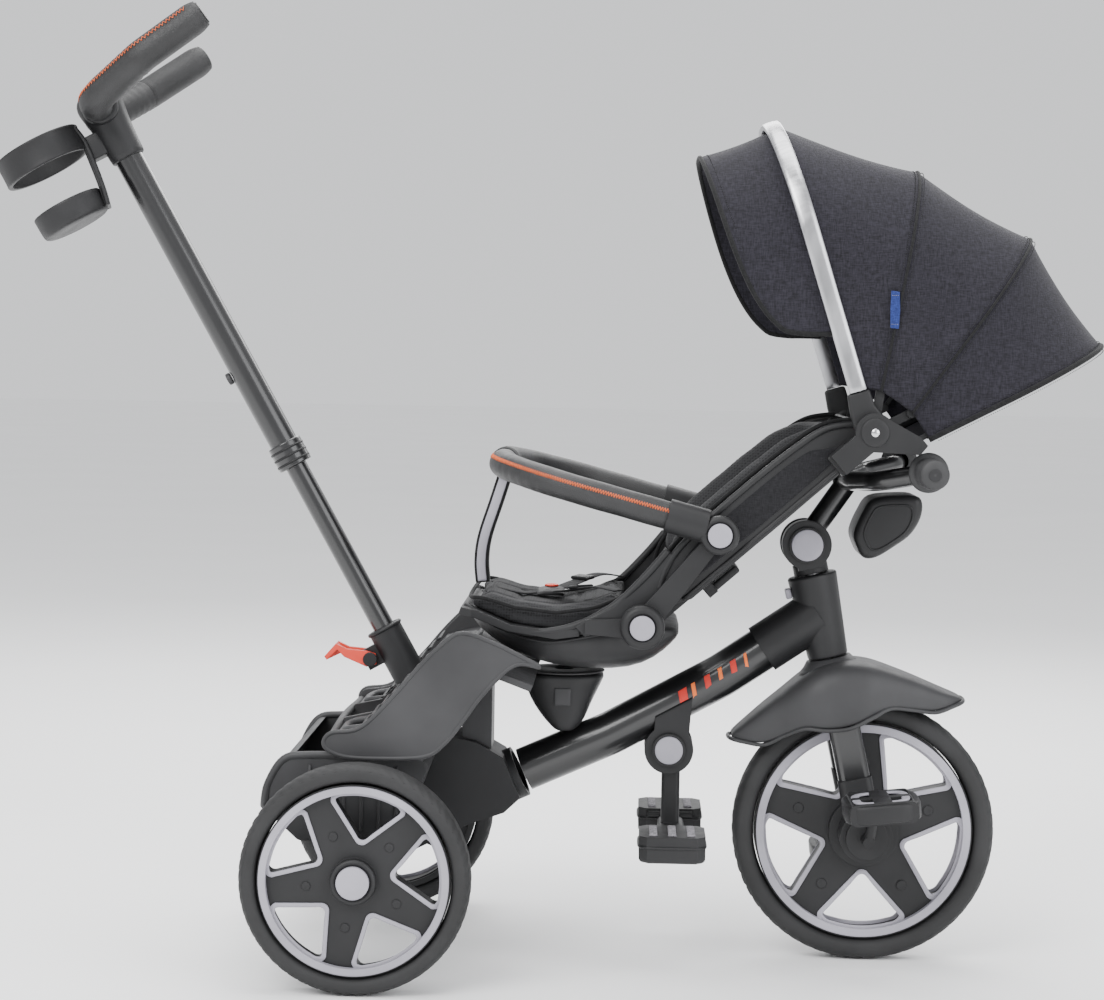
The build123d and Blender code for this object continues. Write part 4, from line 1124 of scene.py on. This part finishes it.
def make_handle_details():
    """Tee moulding with its rolled collar, the lock collar's ribs, and the lip of the socket."""
    profile = [(12.7, -64), (19.5, -64), (20.4, -62), (21.5, -30), (25.2, -6), (27.5, 4), (26.5, 14),
        (20.5, 21.5), (10, 25.5), (0, 26.2)]
    tee = lathe("handle_tee", handle(0, 0, 680), HANDLE_UP, profile, 56, False)
    keep(finished(rounded(tee, 1)), "shell_black", "push_handle")
    stub = [handle(-2, y, 680) for y in steps(-34, 34, 8)]
    tee_arm = swept("handle_tee_arm", stub, circle(21.0, 32), HANDLE_UP)
    keep(finished(soften(tee_arm, 3.0, 4, 50)), "shell_black", "push_handle")
    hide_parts("handle_yoke")
    for k in range(3):
        s = 222 + 8 * k
        ring = lathe(f"collar_rib_{k}", handle(0, 0, s), HANDLE_UP, [(19.8, -1.6), (20.5, -0.9),
            (20.5, 0.9), (19.8, 1.6)], 48)
        keep(ring, "shell_black", "push_handle")
    lip = lathe("handle_socket_lip", handle(0, 0, 3.0), HANDLE_UP, [(19.0, -3), (21.2, -2.2), (21.6, 0),
        (20.6, 2.2), (12.9, 2.6), (12.9, -3)], 48)
    keep(finished(rounded(lip, 1)), "shell_black", "frame")


def cup_ring(name, centre, r, height, wall, gap, twist=0.0):
    """An open C-shaped ring with rolled rims, gap degrees wide."""
    count = 60
    start, stop = math.radians(gap / 2 + twist), math.tau - math.radians(gap / 2 - twist)
    path = []
    for k in range(count + 1):
        a = start + (stop - start) * k / count
        path.append(centre(r * math.cos(a), r * math.sin(a), 0))
    w, h = wall / 2, height / 2
    section = [(-w, -h), (w, -h), (w + 0.8, -h + 1.5), (w + 0.2, -h + 4), (w, h - 5), (w + 1.2, h - 2),
        (w + 0.6, h), (-w, h)]
    obj = swept(name, path, section, HANDLE_UP)
    return finished(rounded(finished(soften(obj, 0.6, 2, 40)), 1))


def make_cup_holder():
    """Upper ring and a lower cup, on a curved spine that clips to the handle."""
    top = lambda x, y, z: handle(-86 + x, y, 662 + z)
    keep(cup_ring("cup_holder_ring", top, 48.0, 31, 5.2, 2), "shell_black", "push_handle")
    profile = [(0, -13.6), (36, -13.6), (39.5, -12), (41.0, -8), (41.2, 10), (41.6, 13.6), (40, 14.2),
        (38.2, 13.6), (37.6, -6), (34, -9.6), (0, -10.2)]
    cup = lathe("cup_holder_base", handle(-88, 0, 588), HANDLE_UP, profile, 64, False)
    keep(finished(rounded(cup, 1)), "shell_black", "push_handle")
    spine = smooth_path([handle(-47, 0, 578), handle(-42, 0, 600), handle(-38, 0, 630),
        handle(-36, 0, 655), handle(-39, 0, 674)], 6)
    obj = swept("cup_holder_spine", spine, strap_section(38, 6), -TWIST_X)
    keep(finished(soften(obj, 1.2, 3, 40)), "shell_black", "push_handle")
    ribs = []
    for y in (-12, 12):
        line = [p + TWIST_Y * (y * MM) - TWIST_X * (2.6 * MM) for p in spine]
        ribs.append(swept("rib", line, circle(2.2, 8), -TWIST_X))
    keep(joined("cup_holder_ribs", ribs), "shell_black", "push_handle")
    clip = [handle(x, 0, 645) for x in steps(-38, -17, 5)]
    keep(finished(soften(swept("cup_holder_clip", clip, [(-13, -14), (13, -14), (13, 14), (-13, 14)],
        HANDLE_UP), 3, 3)), "shell_black", "push_handle")
    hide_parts("cup_holder")


def make_handlebar_grips():
    """Soft ribbed grips with a flange and a domed end."""
    for side, name in SIDES:
        profile = [(11.2, 148), (20.4, 148), (22.0, 150), (22.2, 153.4), (20.6, 155.4), (15.4, 156.6)]
        for k in range(7):
            y = 160 + 6 * k
            profile += [(15.2, y), (16.6, y + 1.2), (16.6, y + 3.6), (15.2, y + 4.8)]
        profile += [(15.6, 203), (16.4, 206), (15.6, 209), (11, 211.6), (0, 212.4)]
        centre = at(610, 0, 568)
        obj = lathe("handlebar_grip_" + name, centre, Y * side, profile, 48, False)
        keep(finished(rounded(obj, 1)), "grip_rubber", "handlebar")
        if side < 0:
            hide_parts("handlebar_grips")
        button("handlebar_end_" + name, centre + Y * (side * 211.2 * MM), Y * side, 7, 1.4,
            "shell_black", "handlebar", -0.4)


# ---- wheels ----
def make_tyre(name, centre, r, width, body, node):
    """Tyre with a rounded crown, a line on each shoulder and slanted tread grooves."""
    depth = 0.165 * r
    segments, lobes = 180, 60
    ring = []
    count = 30
    for k in range(count):
        a = math.tau * k / count
        c, s = math.cos(a), math.sin(a)
        ring.append((r - depth / 2 + depth / 2 * math.copysign(abs(c) ** 0.72, c),
            width / 2 * math.copysign(abs(s) ** 0.72, s)))
    verts = []
    for i in range(segments):
        a = math.tau * i / segments
        for rr, y in ring:
            crown = max(0.0, (rr - (r - depth * 0.42)) / (depth * 0.42))
            slant = (i + abs(y) / width * 9) % (segments / lobes)
            groove = 1.5 if crown > 0 and slant < 1.0 and abs(y) > width * 0.12 else 0.0
            middle = 1.2 if crown > 0.5 and abs(y) < width * 0.05 else 0.0
            rr2 = rr - (groove + middle) * min(1, crown * 2)
            verts.append(centre + Vector((rr2 * math.cos(a), y, rr2 * math.sin(a))) * MM)
    obj = keep(mesh(name, verts, ring_faces(segments, count, closed=True)), "tyre_rubber", body)
    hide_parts(node)
    for side in (-1, 1):
        for k, share in enumerate((0.905, 0.955)):
            y = side * width * (0.475 - 0.03 * k)
            bead = lathe(f"{name}_line_{k}_{'left' if side > 0 else 'right'}", centre + Y * (y * MM),
                Y * side, [(r * share - 0.9, -1.5), (r * share - 0.4, 0.9), (r * share + 0.4, 0.9),
                (r * share + 0.9, -1.5)], 120)
            keep(bead, "tyre_rubber", body)


def make_wheels():
    make_tyre("tyre_front", FRONT_AXLE, 150, 42, "front_wheel", "front_tyre")
    for side, name in SIDES:
        centre = Vector((REAR_AXLE.x, side * 0.225, REAR_AXLE.z))
        make_tyre("tyre_rear_" + name, centre, 125, 40, "rear_wheel_" + name, "rear_tyre_" + name)
        hub = lathe("hub_rear_" + name, centre + Y * (side * 0.0205), Y * side, [(18.6, 0), (25.0, 0),
            (24.4, 3.2), (22, 4.6), (18.6, 4.4)], 56)
        keep(hub, "shell_black", "rear_wheel_" + name)
        for k in range(5):
            a = math.radians(8 + 36 + 72 * k)
            spot = centre + Vector((math.cos(a) * 0.052, side * 0.0108, math.sin(a) * 0.052))
            button(f"rear_boss_{name}_{k}", spot, Y * side, 5.0, 1.6, "shell_black",
                "rear_wheel_" + name, -0.6)
    for side, name in SIDES:
        for k in range(5):
            a = math.radians(-18 + 36 + 72 * k)
            spot = FRONT_AXLE + Vector((math.cos(a) * 0.078, side * 0.0108, math.sin(a) * 0.078))
            button(f"front_boss_{name}_{k}", spot, Y * side, 6.0, 1.6, "shell_black", "front_wheel", -0.6)


# ---- caps, rivets and the tube's stripes ----
def make_caps():
    for side, name in SIDES:
        y = Y * side
        button("cap_recline_" + name, RECLINE + y * 0.1750, y, 13.6, 2.2, "trim_grey", "seat", 0.7)
        button("cap_bumper_" + name, BUMPER + y * 0.1765, y, 13.2, 2.2, "trim_grey", "bumper_bar", 0.7)
        ring = lathe("ring_bumper_" + name, BUMPER + y * 0.170, y, [(14.2, 0), (21.5, -2), (21.0, 3.4),
            (18.5, 6.0), (14.2, 6.6)], 56)
        keep(ring, "shell_black", "bumper_bar")
        ring = lathe("ring_recline_" + name, RECLINE + y * 0.168, y, [(14.6, 0), (24.5, -2),
            (23.8, 3.0), (20.5, 6.2), (14.6, 7.0)], 56)
        keep(ring, "shell_black", "seat")
        button("cap_stem_" + name, head(0, side * 30.0, 335.6), y, 18.0, 2.0, "trim_grey", "fork", 0.8)
        button("cap_footrest_" + name, FOOTREST + y * 0.030, y, 16.0, 2.0, "trim_grey", "frame", 0.7)
        button("hinge_rivet_" + name, HINGE + y * 0.1782, y, 4.6, 1.6, "chrome", "backrest", 1.0)
        button("hinge_cap_" + name, HINGE + y * 0.1762, y, 15.5, 2.2, "shell_black", "backrest", 0.4)
        ring = lathe("ring_hinge_" + name, HINGE + y * 0.1752, y, [(5.4, 0.4), (9, 0.4), (17, 0.9),
            (20.8, -0.4), (20.8, -3), (5.4, -3)], 56)
        keep(ring, "shell_black", "backrest")


def tube_point(s, angle, lift):
    """A point on the main tube's skin: s runs up the straight part, angle goes round from the side."""
    low, high = at(336, 0, 290.5), at(440, 0, 353.8)
    along = (high - low).normalized()
    up = Vector((-along.z, 0, along.x))
    return low + along * (s * MM) + (up * math.sin(angle) - Y * math.cos(angle)) * ((25 + lift) * MM)


def make_stripes():
    """A plain generic flash on both sides of the tube: slanted bars from orange to red."""
    bars = [(14, 26), (31, 12), (48, 18), (66, 12), (82, 18), (100, 9)]
    for flip in (1, -1):
        for k, (s, wide) in enumerate(bars):
            verts, faces = [], []
            rows = 8
            for lift in (0.0, 0.25):
                for i in range(rows + 1):
                    a = -0.36 + 0.72 * i / rows
                    for share in (0, 1):
                        p = tube_point(s + wide * 0.42 * share + 9 * a, a, lift)
                        p.y *= flip
                        verts.append(p)
            layer = 2 * (rows + 1)
            for i in range(rows):
                faces += [(2 * i, 2 * i + 1, 2 * i + 3, 2 * i + 2), (layer + 2 * i, layer + 2 * i + 2,
                    layer + 2 * i + 3, layer + 2 * i + 1)]
                faces += [(2 * i, 2 * i + 2, layer + 2 * i + 2, layer + 2 * i),
                    (2 * i + 1, layer + 2 * i + 1, layer + 2 * i + 3, 2 * i + 3)]
            faces += [(0, layer, layer + 1, 1), (2 * rows, 2 * rows + 1, layer + 2 * rows + 1,
                layer + 2 * rows)]
            name = f"stripe_{'right' if flip > 0 else 'left'}_{k}"
            keep(mesh(name, verts, faces), "decal_orange" if k % 2 else "decal_red", "frame", False)


make_push_grips()
make_handle_details()
make_cup_holder()
make_handlebar_grips()
make_wheels()
make_caps()
make_stripes()


# ---- moulded parts with curved skins ----
def lofted(name, sections, mat, body, levels=1, cap=True):
    """A skin through rings of the same number of points."""
    n = len(sections[0])
    verts = [p for ring in sections for p in ring]
    obj = mesh(name, verts, ring_faces(len(sections), n, caps=cap))
    return keep(finished(rounded(obj, levels)) if levels else obj, mat, body)


def power(value, p):
    return math.copysign(abs(value) ** p, value)


FENDER = [
    # x, crown, skirt, half width
    (407, 259, 254, 18), (424, 274, 251, 28), (446, 294, 250, 36), (468, 311, 262, 44), (490, 330, 272, 57),
    (512, 344, 271, 62), (540, 348, 274, 62), (566, 346, 287, 60), (586, 339, 296, 50), (612, 330, 294, 43),
    (638, 319, 291, 38), (658, 311, 297, 31), (671, 306, 302, 20),
]


def make_fender():
    sections = []
    for x, crown, skirt, half in FENDER:
        ring = []
        for k in range(25):
            a = math.pi * k / 24
            ring.append(at(x, -half * power(math.cos(a), 0.42),
                skirt + (crown - skirt) * power(math.sin(a), 0.5)))
        sections.append(ring)
    verts = [p for ring in sections for p in ring]
    shell = thick(mesh("fender_shell", verts, grid_faces(len(sections) - 1, 25)), 3.2, -1)
    obj = keep(finished(rounded(finished(shell), 2)), "shell_grey", "fork")
    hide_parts("front_fender")
    neck = [(16, 190), (37, 190), (30, 196), (25.5, 202), (16, 202)]
    keep(lathe("fender_neck", FRONT_AXLE, HEAD_UP, neck, 48), "shell_grey", "fork")
    edge = [at(x, -half, skirt) for x, _, skirt, half in FENDER] + [at(x, half, skirt)
        for x, _, skirt, half in reversed(FENDER)]
    keep(swept("fender_lip", smooth_path(edge, 5, True), circle(2.3, 10), Z, closed=True), "shell_grey",
        "fork")


FLANGE = [
    (108, 387), (142, 377), (176, 361), (193, 352), (172, 355), (155, 346), (129, 318), (108, 288), (91,
        267),
    (69, 252), (16, 249), (-20, 251), (-39, 261), (-33, 275), (0, 282), (36, 318), (64, 351), (86, 373),
]


def make_platform():
    """Smooth outer flanges, bound edges and foot treads over the platform moulding."""
    line = smooth_path([Vector((x, z, 0)) for x, z in FLANGE], 6, True)
    outline = [(p.x, p.y) for p in line]
    for side, name in SIDES:
        cheek = slab("platform_flange_" + name, outline, side * 175.5, side * 188.5)
        keep(finished(soften(cheek, 4.0, 5, 25)), "shell_grey", "frame")
        rim = [at(x, side * 187, z) for x, z in outline]
        keep(swept("platform_lip_" + name, rim, circle(2.6, 10), Y, closed=True), "shell_grey", "frame")
        treads = []
        for k in range(7):
            t = k / 6
            x = -2 + 66 * t
            z = 277.5 + 71 * t
            run = [at(x, side * y, z + 1.6) for y in steps(76, 160, 8)]
            treads.append(swept("tread", run, strap_section(5, 2.2), Vector((-0.6, 0, 0.8))))
        keep(joined("platform_treads_" + name, treads), "shell_black", "frame")
        loop = smooth_path([at(-1 + 22 * power(math.cos(a), 0.6), side * 118 + 32 * power(math.sin(a),
            0.6), 277 + 5 * math.cos(a)) for a in steps(0, math.tau * 15 / 16, 15)], 3, True)
        keep(swept("toe_loop_rim_" + name, loop, circle(4.2, 12), Z, closed=True), "shell_grey", "frame")
    lip = smooth_path([at(-37, y, 266 + 3 * math.cos(y / 60)) for y in steps(-172, 172, 24)], 2)
    keep(swept("platform_front_lip", lip, circle(4.6, 12), Z), "shell_grey", "frame")
    top = smooth_path([at(112, y, 355.5) for y in steps(-176, 176, 16)], 2)
    keep(swept("platform_top_lip", top, circle(3.4, 12), Z), "shell_grey", "frame")


def make_basket():
    """Rolled rim and moulded ribs on the storage tub."""
    side_line = [(-108, 192), (-104, 214), (-87, 241), (-60, 246), (0, 246), (66, 246)]
    near = [at(x, -157.5, z) for x, z in reversed(side_line)]
    across = [at(-109.5, y, 189) for y in steps(-140, 140, 8)]
    far = [at(x, 157.5, z) for x, z in side_line]
    path = smooth_path(near + across + far, 6)
    keep(swept("basket_rim", path, circle(4.6, 14), Vector((-0.6, 0, 0.8))), "shell_grey", "frame")
    ribs = []
    for side in (-1, 1):
        for k in range(6):
            x = -58 + 19 * k
            run = [at(x, side * 160.2, z) for z in steps(164, 236, 8)]
            ribs.append(swept("rib", run, circle(2.0, 8), Y))
    keep(joined("basket_ribs", ribs), "shell_grey", "frame")


def make_pedestal():
    """Tapered post with a rolled foot over the main tube and a swivel ring on top."""
    levels = [(257, 217, 10, 27), (264, 217, 17, 30), (272, 216, 24, 32), (288, 213, 33, 34),
        (305, 213, 41, 37), (322, 214.5, 48, 42), (326, 214.5, 47, 42)]
    sections = []
    for z, x, hx, hy in levels:
        sections.append([at(x + hx * power(math.cos(a), 0.7), hy * power(math.sin(a), 0.7), z)
            for a in steps(0, math.tau * 31 / 32, 31)])
    obj = lofted("pedestal_shell", sections, "shell_black", "frame")
    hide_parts("seat_pedestal")
    ring = lathe("swivel_ring", at(215, 0, 326), Z, [(11.4, 0), (46, 0), (47, 1.2), (46, 2.2),
        (11.4, 2.4)], 64)
    keep(ring, "shell_grey", "frame")
    latch = [at(x, -36.5 + 0.02 * (x - 214) ** 2 * 0.1, 300) for x in steps(205, 224, 4)]
    keep(finished(soften(swept("swivel_latch", latch, [(-3, -10), (3, -10), (3, 10), (-3, 10)], Z), 1.5,
        3)), "shell_grey", "frame")


BUCKET = [
    # x, rim, keel, half width
    (109, 402, 392, 52), (116, 402, 380, 74), (132, 398, 367, 98), (160, 388, 351, 122), (199, 380, 338,
        131),
    (250, 388, 332.5, 131), (290, 396, 334.5, 126), (318, 392, 346, 118), (338, 388, 366, 108), (346,
        386, 378, 96),
]


def make_seat_bucket():
    sections = []
    for x, rim, keel, half in BUCKET:
        ring = []
        for k in range(21):
            a = math.pi * k / 20
            ring.append(at(x, -half * power(math.cos(a), 0.8), rim - (rim - keel) * power(math.sin(a),
                0.62)))
        ring += [at(x, half * (1 - 2 * k / 8), rim) for k in range(1, 8)]
        sections.append(ring)
    obj = lofted("seat_bucket", sections, "shell_black", "seat")
    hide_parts("seat_base")
    seam = [at(x, -half - 0.6, rim - 7) for x, rim, _, half in BUCKET[1:-2]]
    keep(swept("seat_bucket_seam_right", smooth_path(seam, 5), circle(1.5, 8), Y), "shell_black", "seat")
    seam = [Vector((p.x, -p.y, p.z)) for p in seam]
    keep(swept("seat_bucket_seam_left", smooth_path(seam, 5), circle(1.5, 8), Y), "shell_black", "seat")


def make_pod():
    """Rounded shield under the handlebar, open behind."""
    shape = [(541, 494), (550, 517), (562, 533), (590, 537), (614, 535), (617, 516), (606, 494),
        (586, 478), (566, 466), (552, 466), (544, 479)]
    line = smooth_path([Vector((x, z, 0)) for x, z in shape], 5, True)
    body = slab("handlebar_shield", [(p.x, p.y) for p in line], -43, 43)
    obj = keep(finished(soften(body, 10, 6, 30)), "shell_black", "handlebar")
    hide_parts("handlebar_pod")
    inset = [(579 + (p.x - 579) * 0.7, 500 + (p.y - 500) * 0.7) for p in line]
    for side in (-1, 1):
        path = [at(x, side * 43.2, z) for x, z in inset]
        keep(swept("shield_line_" + ("left" if side > 0 else "right"), path, circle(1.2, 8), Y,
            closed=True), "shell_black", "handlebar")


def make_pedals():
    """Two-part pedals: a dark cage with a light tread ring on each face."""
    for _, name in SIDES:
        joint = Vector(JOINTS[f"pedal_{name}_spin"]["pos_m"])
        lean = math.radians(6)
        px, pz = Vector((math.cos(lean), 0, math.sin(lean))), Vector((-math.sin(lean), 0, math.cos(lean)))
        spot = lambda x, y, z, joint=joint, px=px, pz=pz: joint + (px * x + Y * y + pz * z) * MM
        loop = [spot(36 * power(math.cos(a), 0.45), 40 * power(math.sin(a), 0.45), 0) for a in steps(0,
            math.tau * 31 / 32, 31)]
        frame_bar = swept("pedal_cage_" + name, loop, [(-5, -10), (5, -10), (6, -7), (6, 7), (5, 10),
            (-5, 10)], pz, closed=True)
        keep(finished(soften(frame_bar, 1.6, 3, 40)), "shell_black", "pedal_" + name)
        for face in (-1, 1):
            plate = [spot(27 * power(math.cos(a), 0.5), 31 * power(math.sin(a), 0.5), face * 10.6)
                for a in steps(0, math.tau * 31 / 32, 31)]
            ring = swept(f"pedal_tread_{name}_{'top' if face > 0 else 'base'}", plate,
                strap_section(9, 2.6), pz, closed=True)
            keep(ring, "trim_grey", "pedal_" + name)


def make_foot_pads():
    """Three raised rubber strips on each small footrest pad, and a bead round its edge."""
    for side, name in SIDES:
        strips = []
        for x in (-21, 0, 21):
            run = [at(341 + x, side * y, 158.6) for y in steps(62, 120, 6)]
            strips.append(swept("strip", run, strap_section(9, 2.4), Z))
        keep(joined("foot_pad_strips_" + name, strips), "strap_grey", "foot_pad_" + name)
        loop = [at(341 + 37.4 * power(math.cos(a), 0.35),
            side * (91.2 + 38.4 * power(math.sin(a), 0.35)), 146) for a in steps(0, math.tau * 31 / 32, 31)]
        keep(swept("foot_pad_bead_" + name, loop, circle(1.6, 8), Z, closed=True), "shell_black",
            "foot_pad_" + name)


def make_rim_lines():
    """Light inlay round each window of the wheels, a continuous ribbon with rounded corners."""
    wheels = [("front", FRONT_AXLE, 150, 47, -18, "front_wheel", (-1, 1))]
    for side, name in ((1, "left"), (-1, "right")):
        wheels.append(("rear_" + name, Vector((REAR_AXLE.x, side * 0.225, REAR_AXLE.z)), 125, 41, 8,
            "rear_wheel_" + name, (side,)))
    for label, centre, r, tip, first, body, sides in wheels:
        reach = r * 0.775 - 3.2
        for out in sides:
            ribbons = []
            for k in range(5):
                a0 = math.radians(first + 72 * k)
                spread = math.radians(26.2)
                corner = tip - 2.0
                points = []
                edge0 = (reach * math.cos(-spread), reach * math.sin(-spread))
                edge1 = (edge0[0], -edge0[1])
                for t in (0.08, 0.3, 0.55, 0.8, 0.93):
                    points.append((corner + (edge0[0] - corner) * t, edge0[1] * t))
                points += [(reach * math.cos(t), reach * math.sin(t)) for t in steps(-spread, spread,
                    10)[1:-1]]
                for t in (0.93, 0.8, 0.55, 0.3, 0.08):
                    points.append((corner + (edge1[0] - corner) * t, edge1[1] * t))
                across, up = Vector((math.cos(a0), 0, math.sin(a0))), Vector((-math.sin(a0), 0,
                    math.cos(a0)))
                turned = [centre + (across * x + up * z + Y * (out * 12.2)) * MM for x, z in points]
                ribbons.append(swept("ribbon", smooth_path(turned, 4, True), strap_section(4.4, 1.8),
                    Y * out, closed=True))
            keep(joined(f"rim_line_{label}_{'left' if out > 0 else 'right'}", ribbons), "trim_grey", body)


make_fender()
make_platform()
make_basket()
make_pedestal()
make_seat_bucket()
make_pod()
make_pedals()
make_foot_pads()
make_rim_lines()
for name in ("canopy_rib_front", "canopy_rib_rear"):
    frame["nodes"][name].data.materials[0] = MAT["shell_black"]


# ---- stage: pale floor and soft studio light ----
def make_stage():
    data = bpy.data.meshes.new("floor")
    size = 30.0
    verts = [(x, y, 0.0) for x, y in ((-size, -size), (size, -size), (size, size), (-size, size))]
    data.from_pydata(verts, [], [(0, 1, 2, 3)])
    floor = bpy.data.objects.new("floor", data)
    bpy.context.scene.collection.objects.link(floor)
    mat, tree, shader, place = nodes_of("floor")
    colour_by(tree, shader, noise(tree, place, 1.5, 3), (0.95, 0.95, 0.95), (0.97, 0.97, 0.97))
    shader.inputs["Roughness"].default_value = 0.85
    data.materials.append(mat)


def make_light(name, place, target, size, power, tint=(1, 1, 1)):
    data = bpy.data.lights.new(name, "AREA")
    data.shape = "RECTANGLE"
    data.size, data.size_y = size
    data.energy = power
    data.color = tint
    light = bpy.data.objects.new(name, data)
    light.location = place
    light.rotation_euler = (Vector(target) - Vector(place)).to_track_quat("-Z", "Y").to_euler()
    bpy.context.scene.collection.objects.link(light)


make_stage()
make_light("key", (-1.6, -2.6, 2.9), (0, 0, 0.5), (2.2, 2.2), 138)
make_light("fill", (2.6, -2.4, 1.6), (0, 0, 0.5), (2.4, 2.4), 70, (0.97, 0.98, 1))
make_light("top", (0.2, 0.3, 3.4), (0, 0, 0.4), (3.0, 2.4), 110)
make_light("rim", (0.4, 2.4, 2.2), (0, 0, 0.6), (3.0, 1.0), 60)
world = bpy.data.worlds.new("studio")
world.use_nodes = True
world.node_tree.nodes["Background"].inputs["Color"].default_value = (0.95, 0.96, 0.98, 1)
world.node_tree.nodes["Background"].inputs["Strength"].default_value = 1.05
bpy.context.scene.world = world
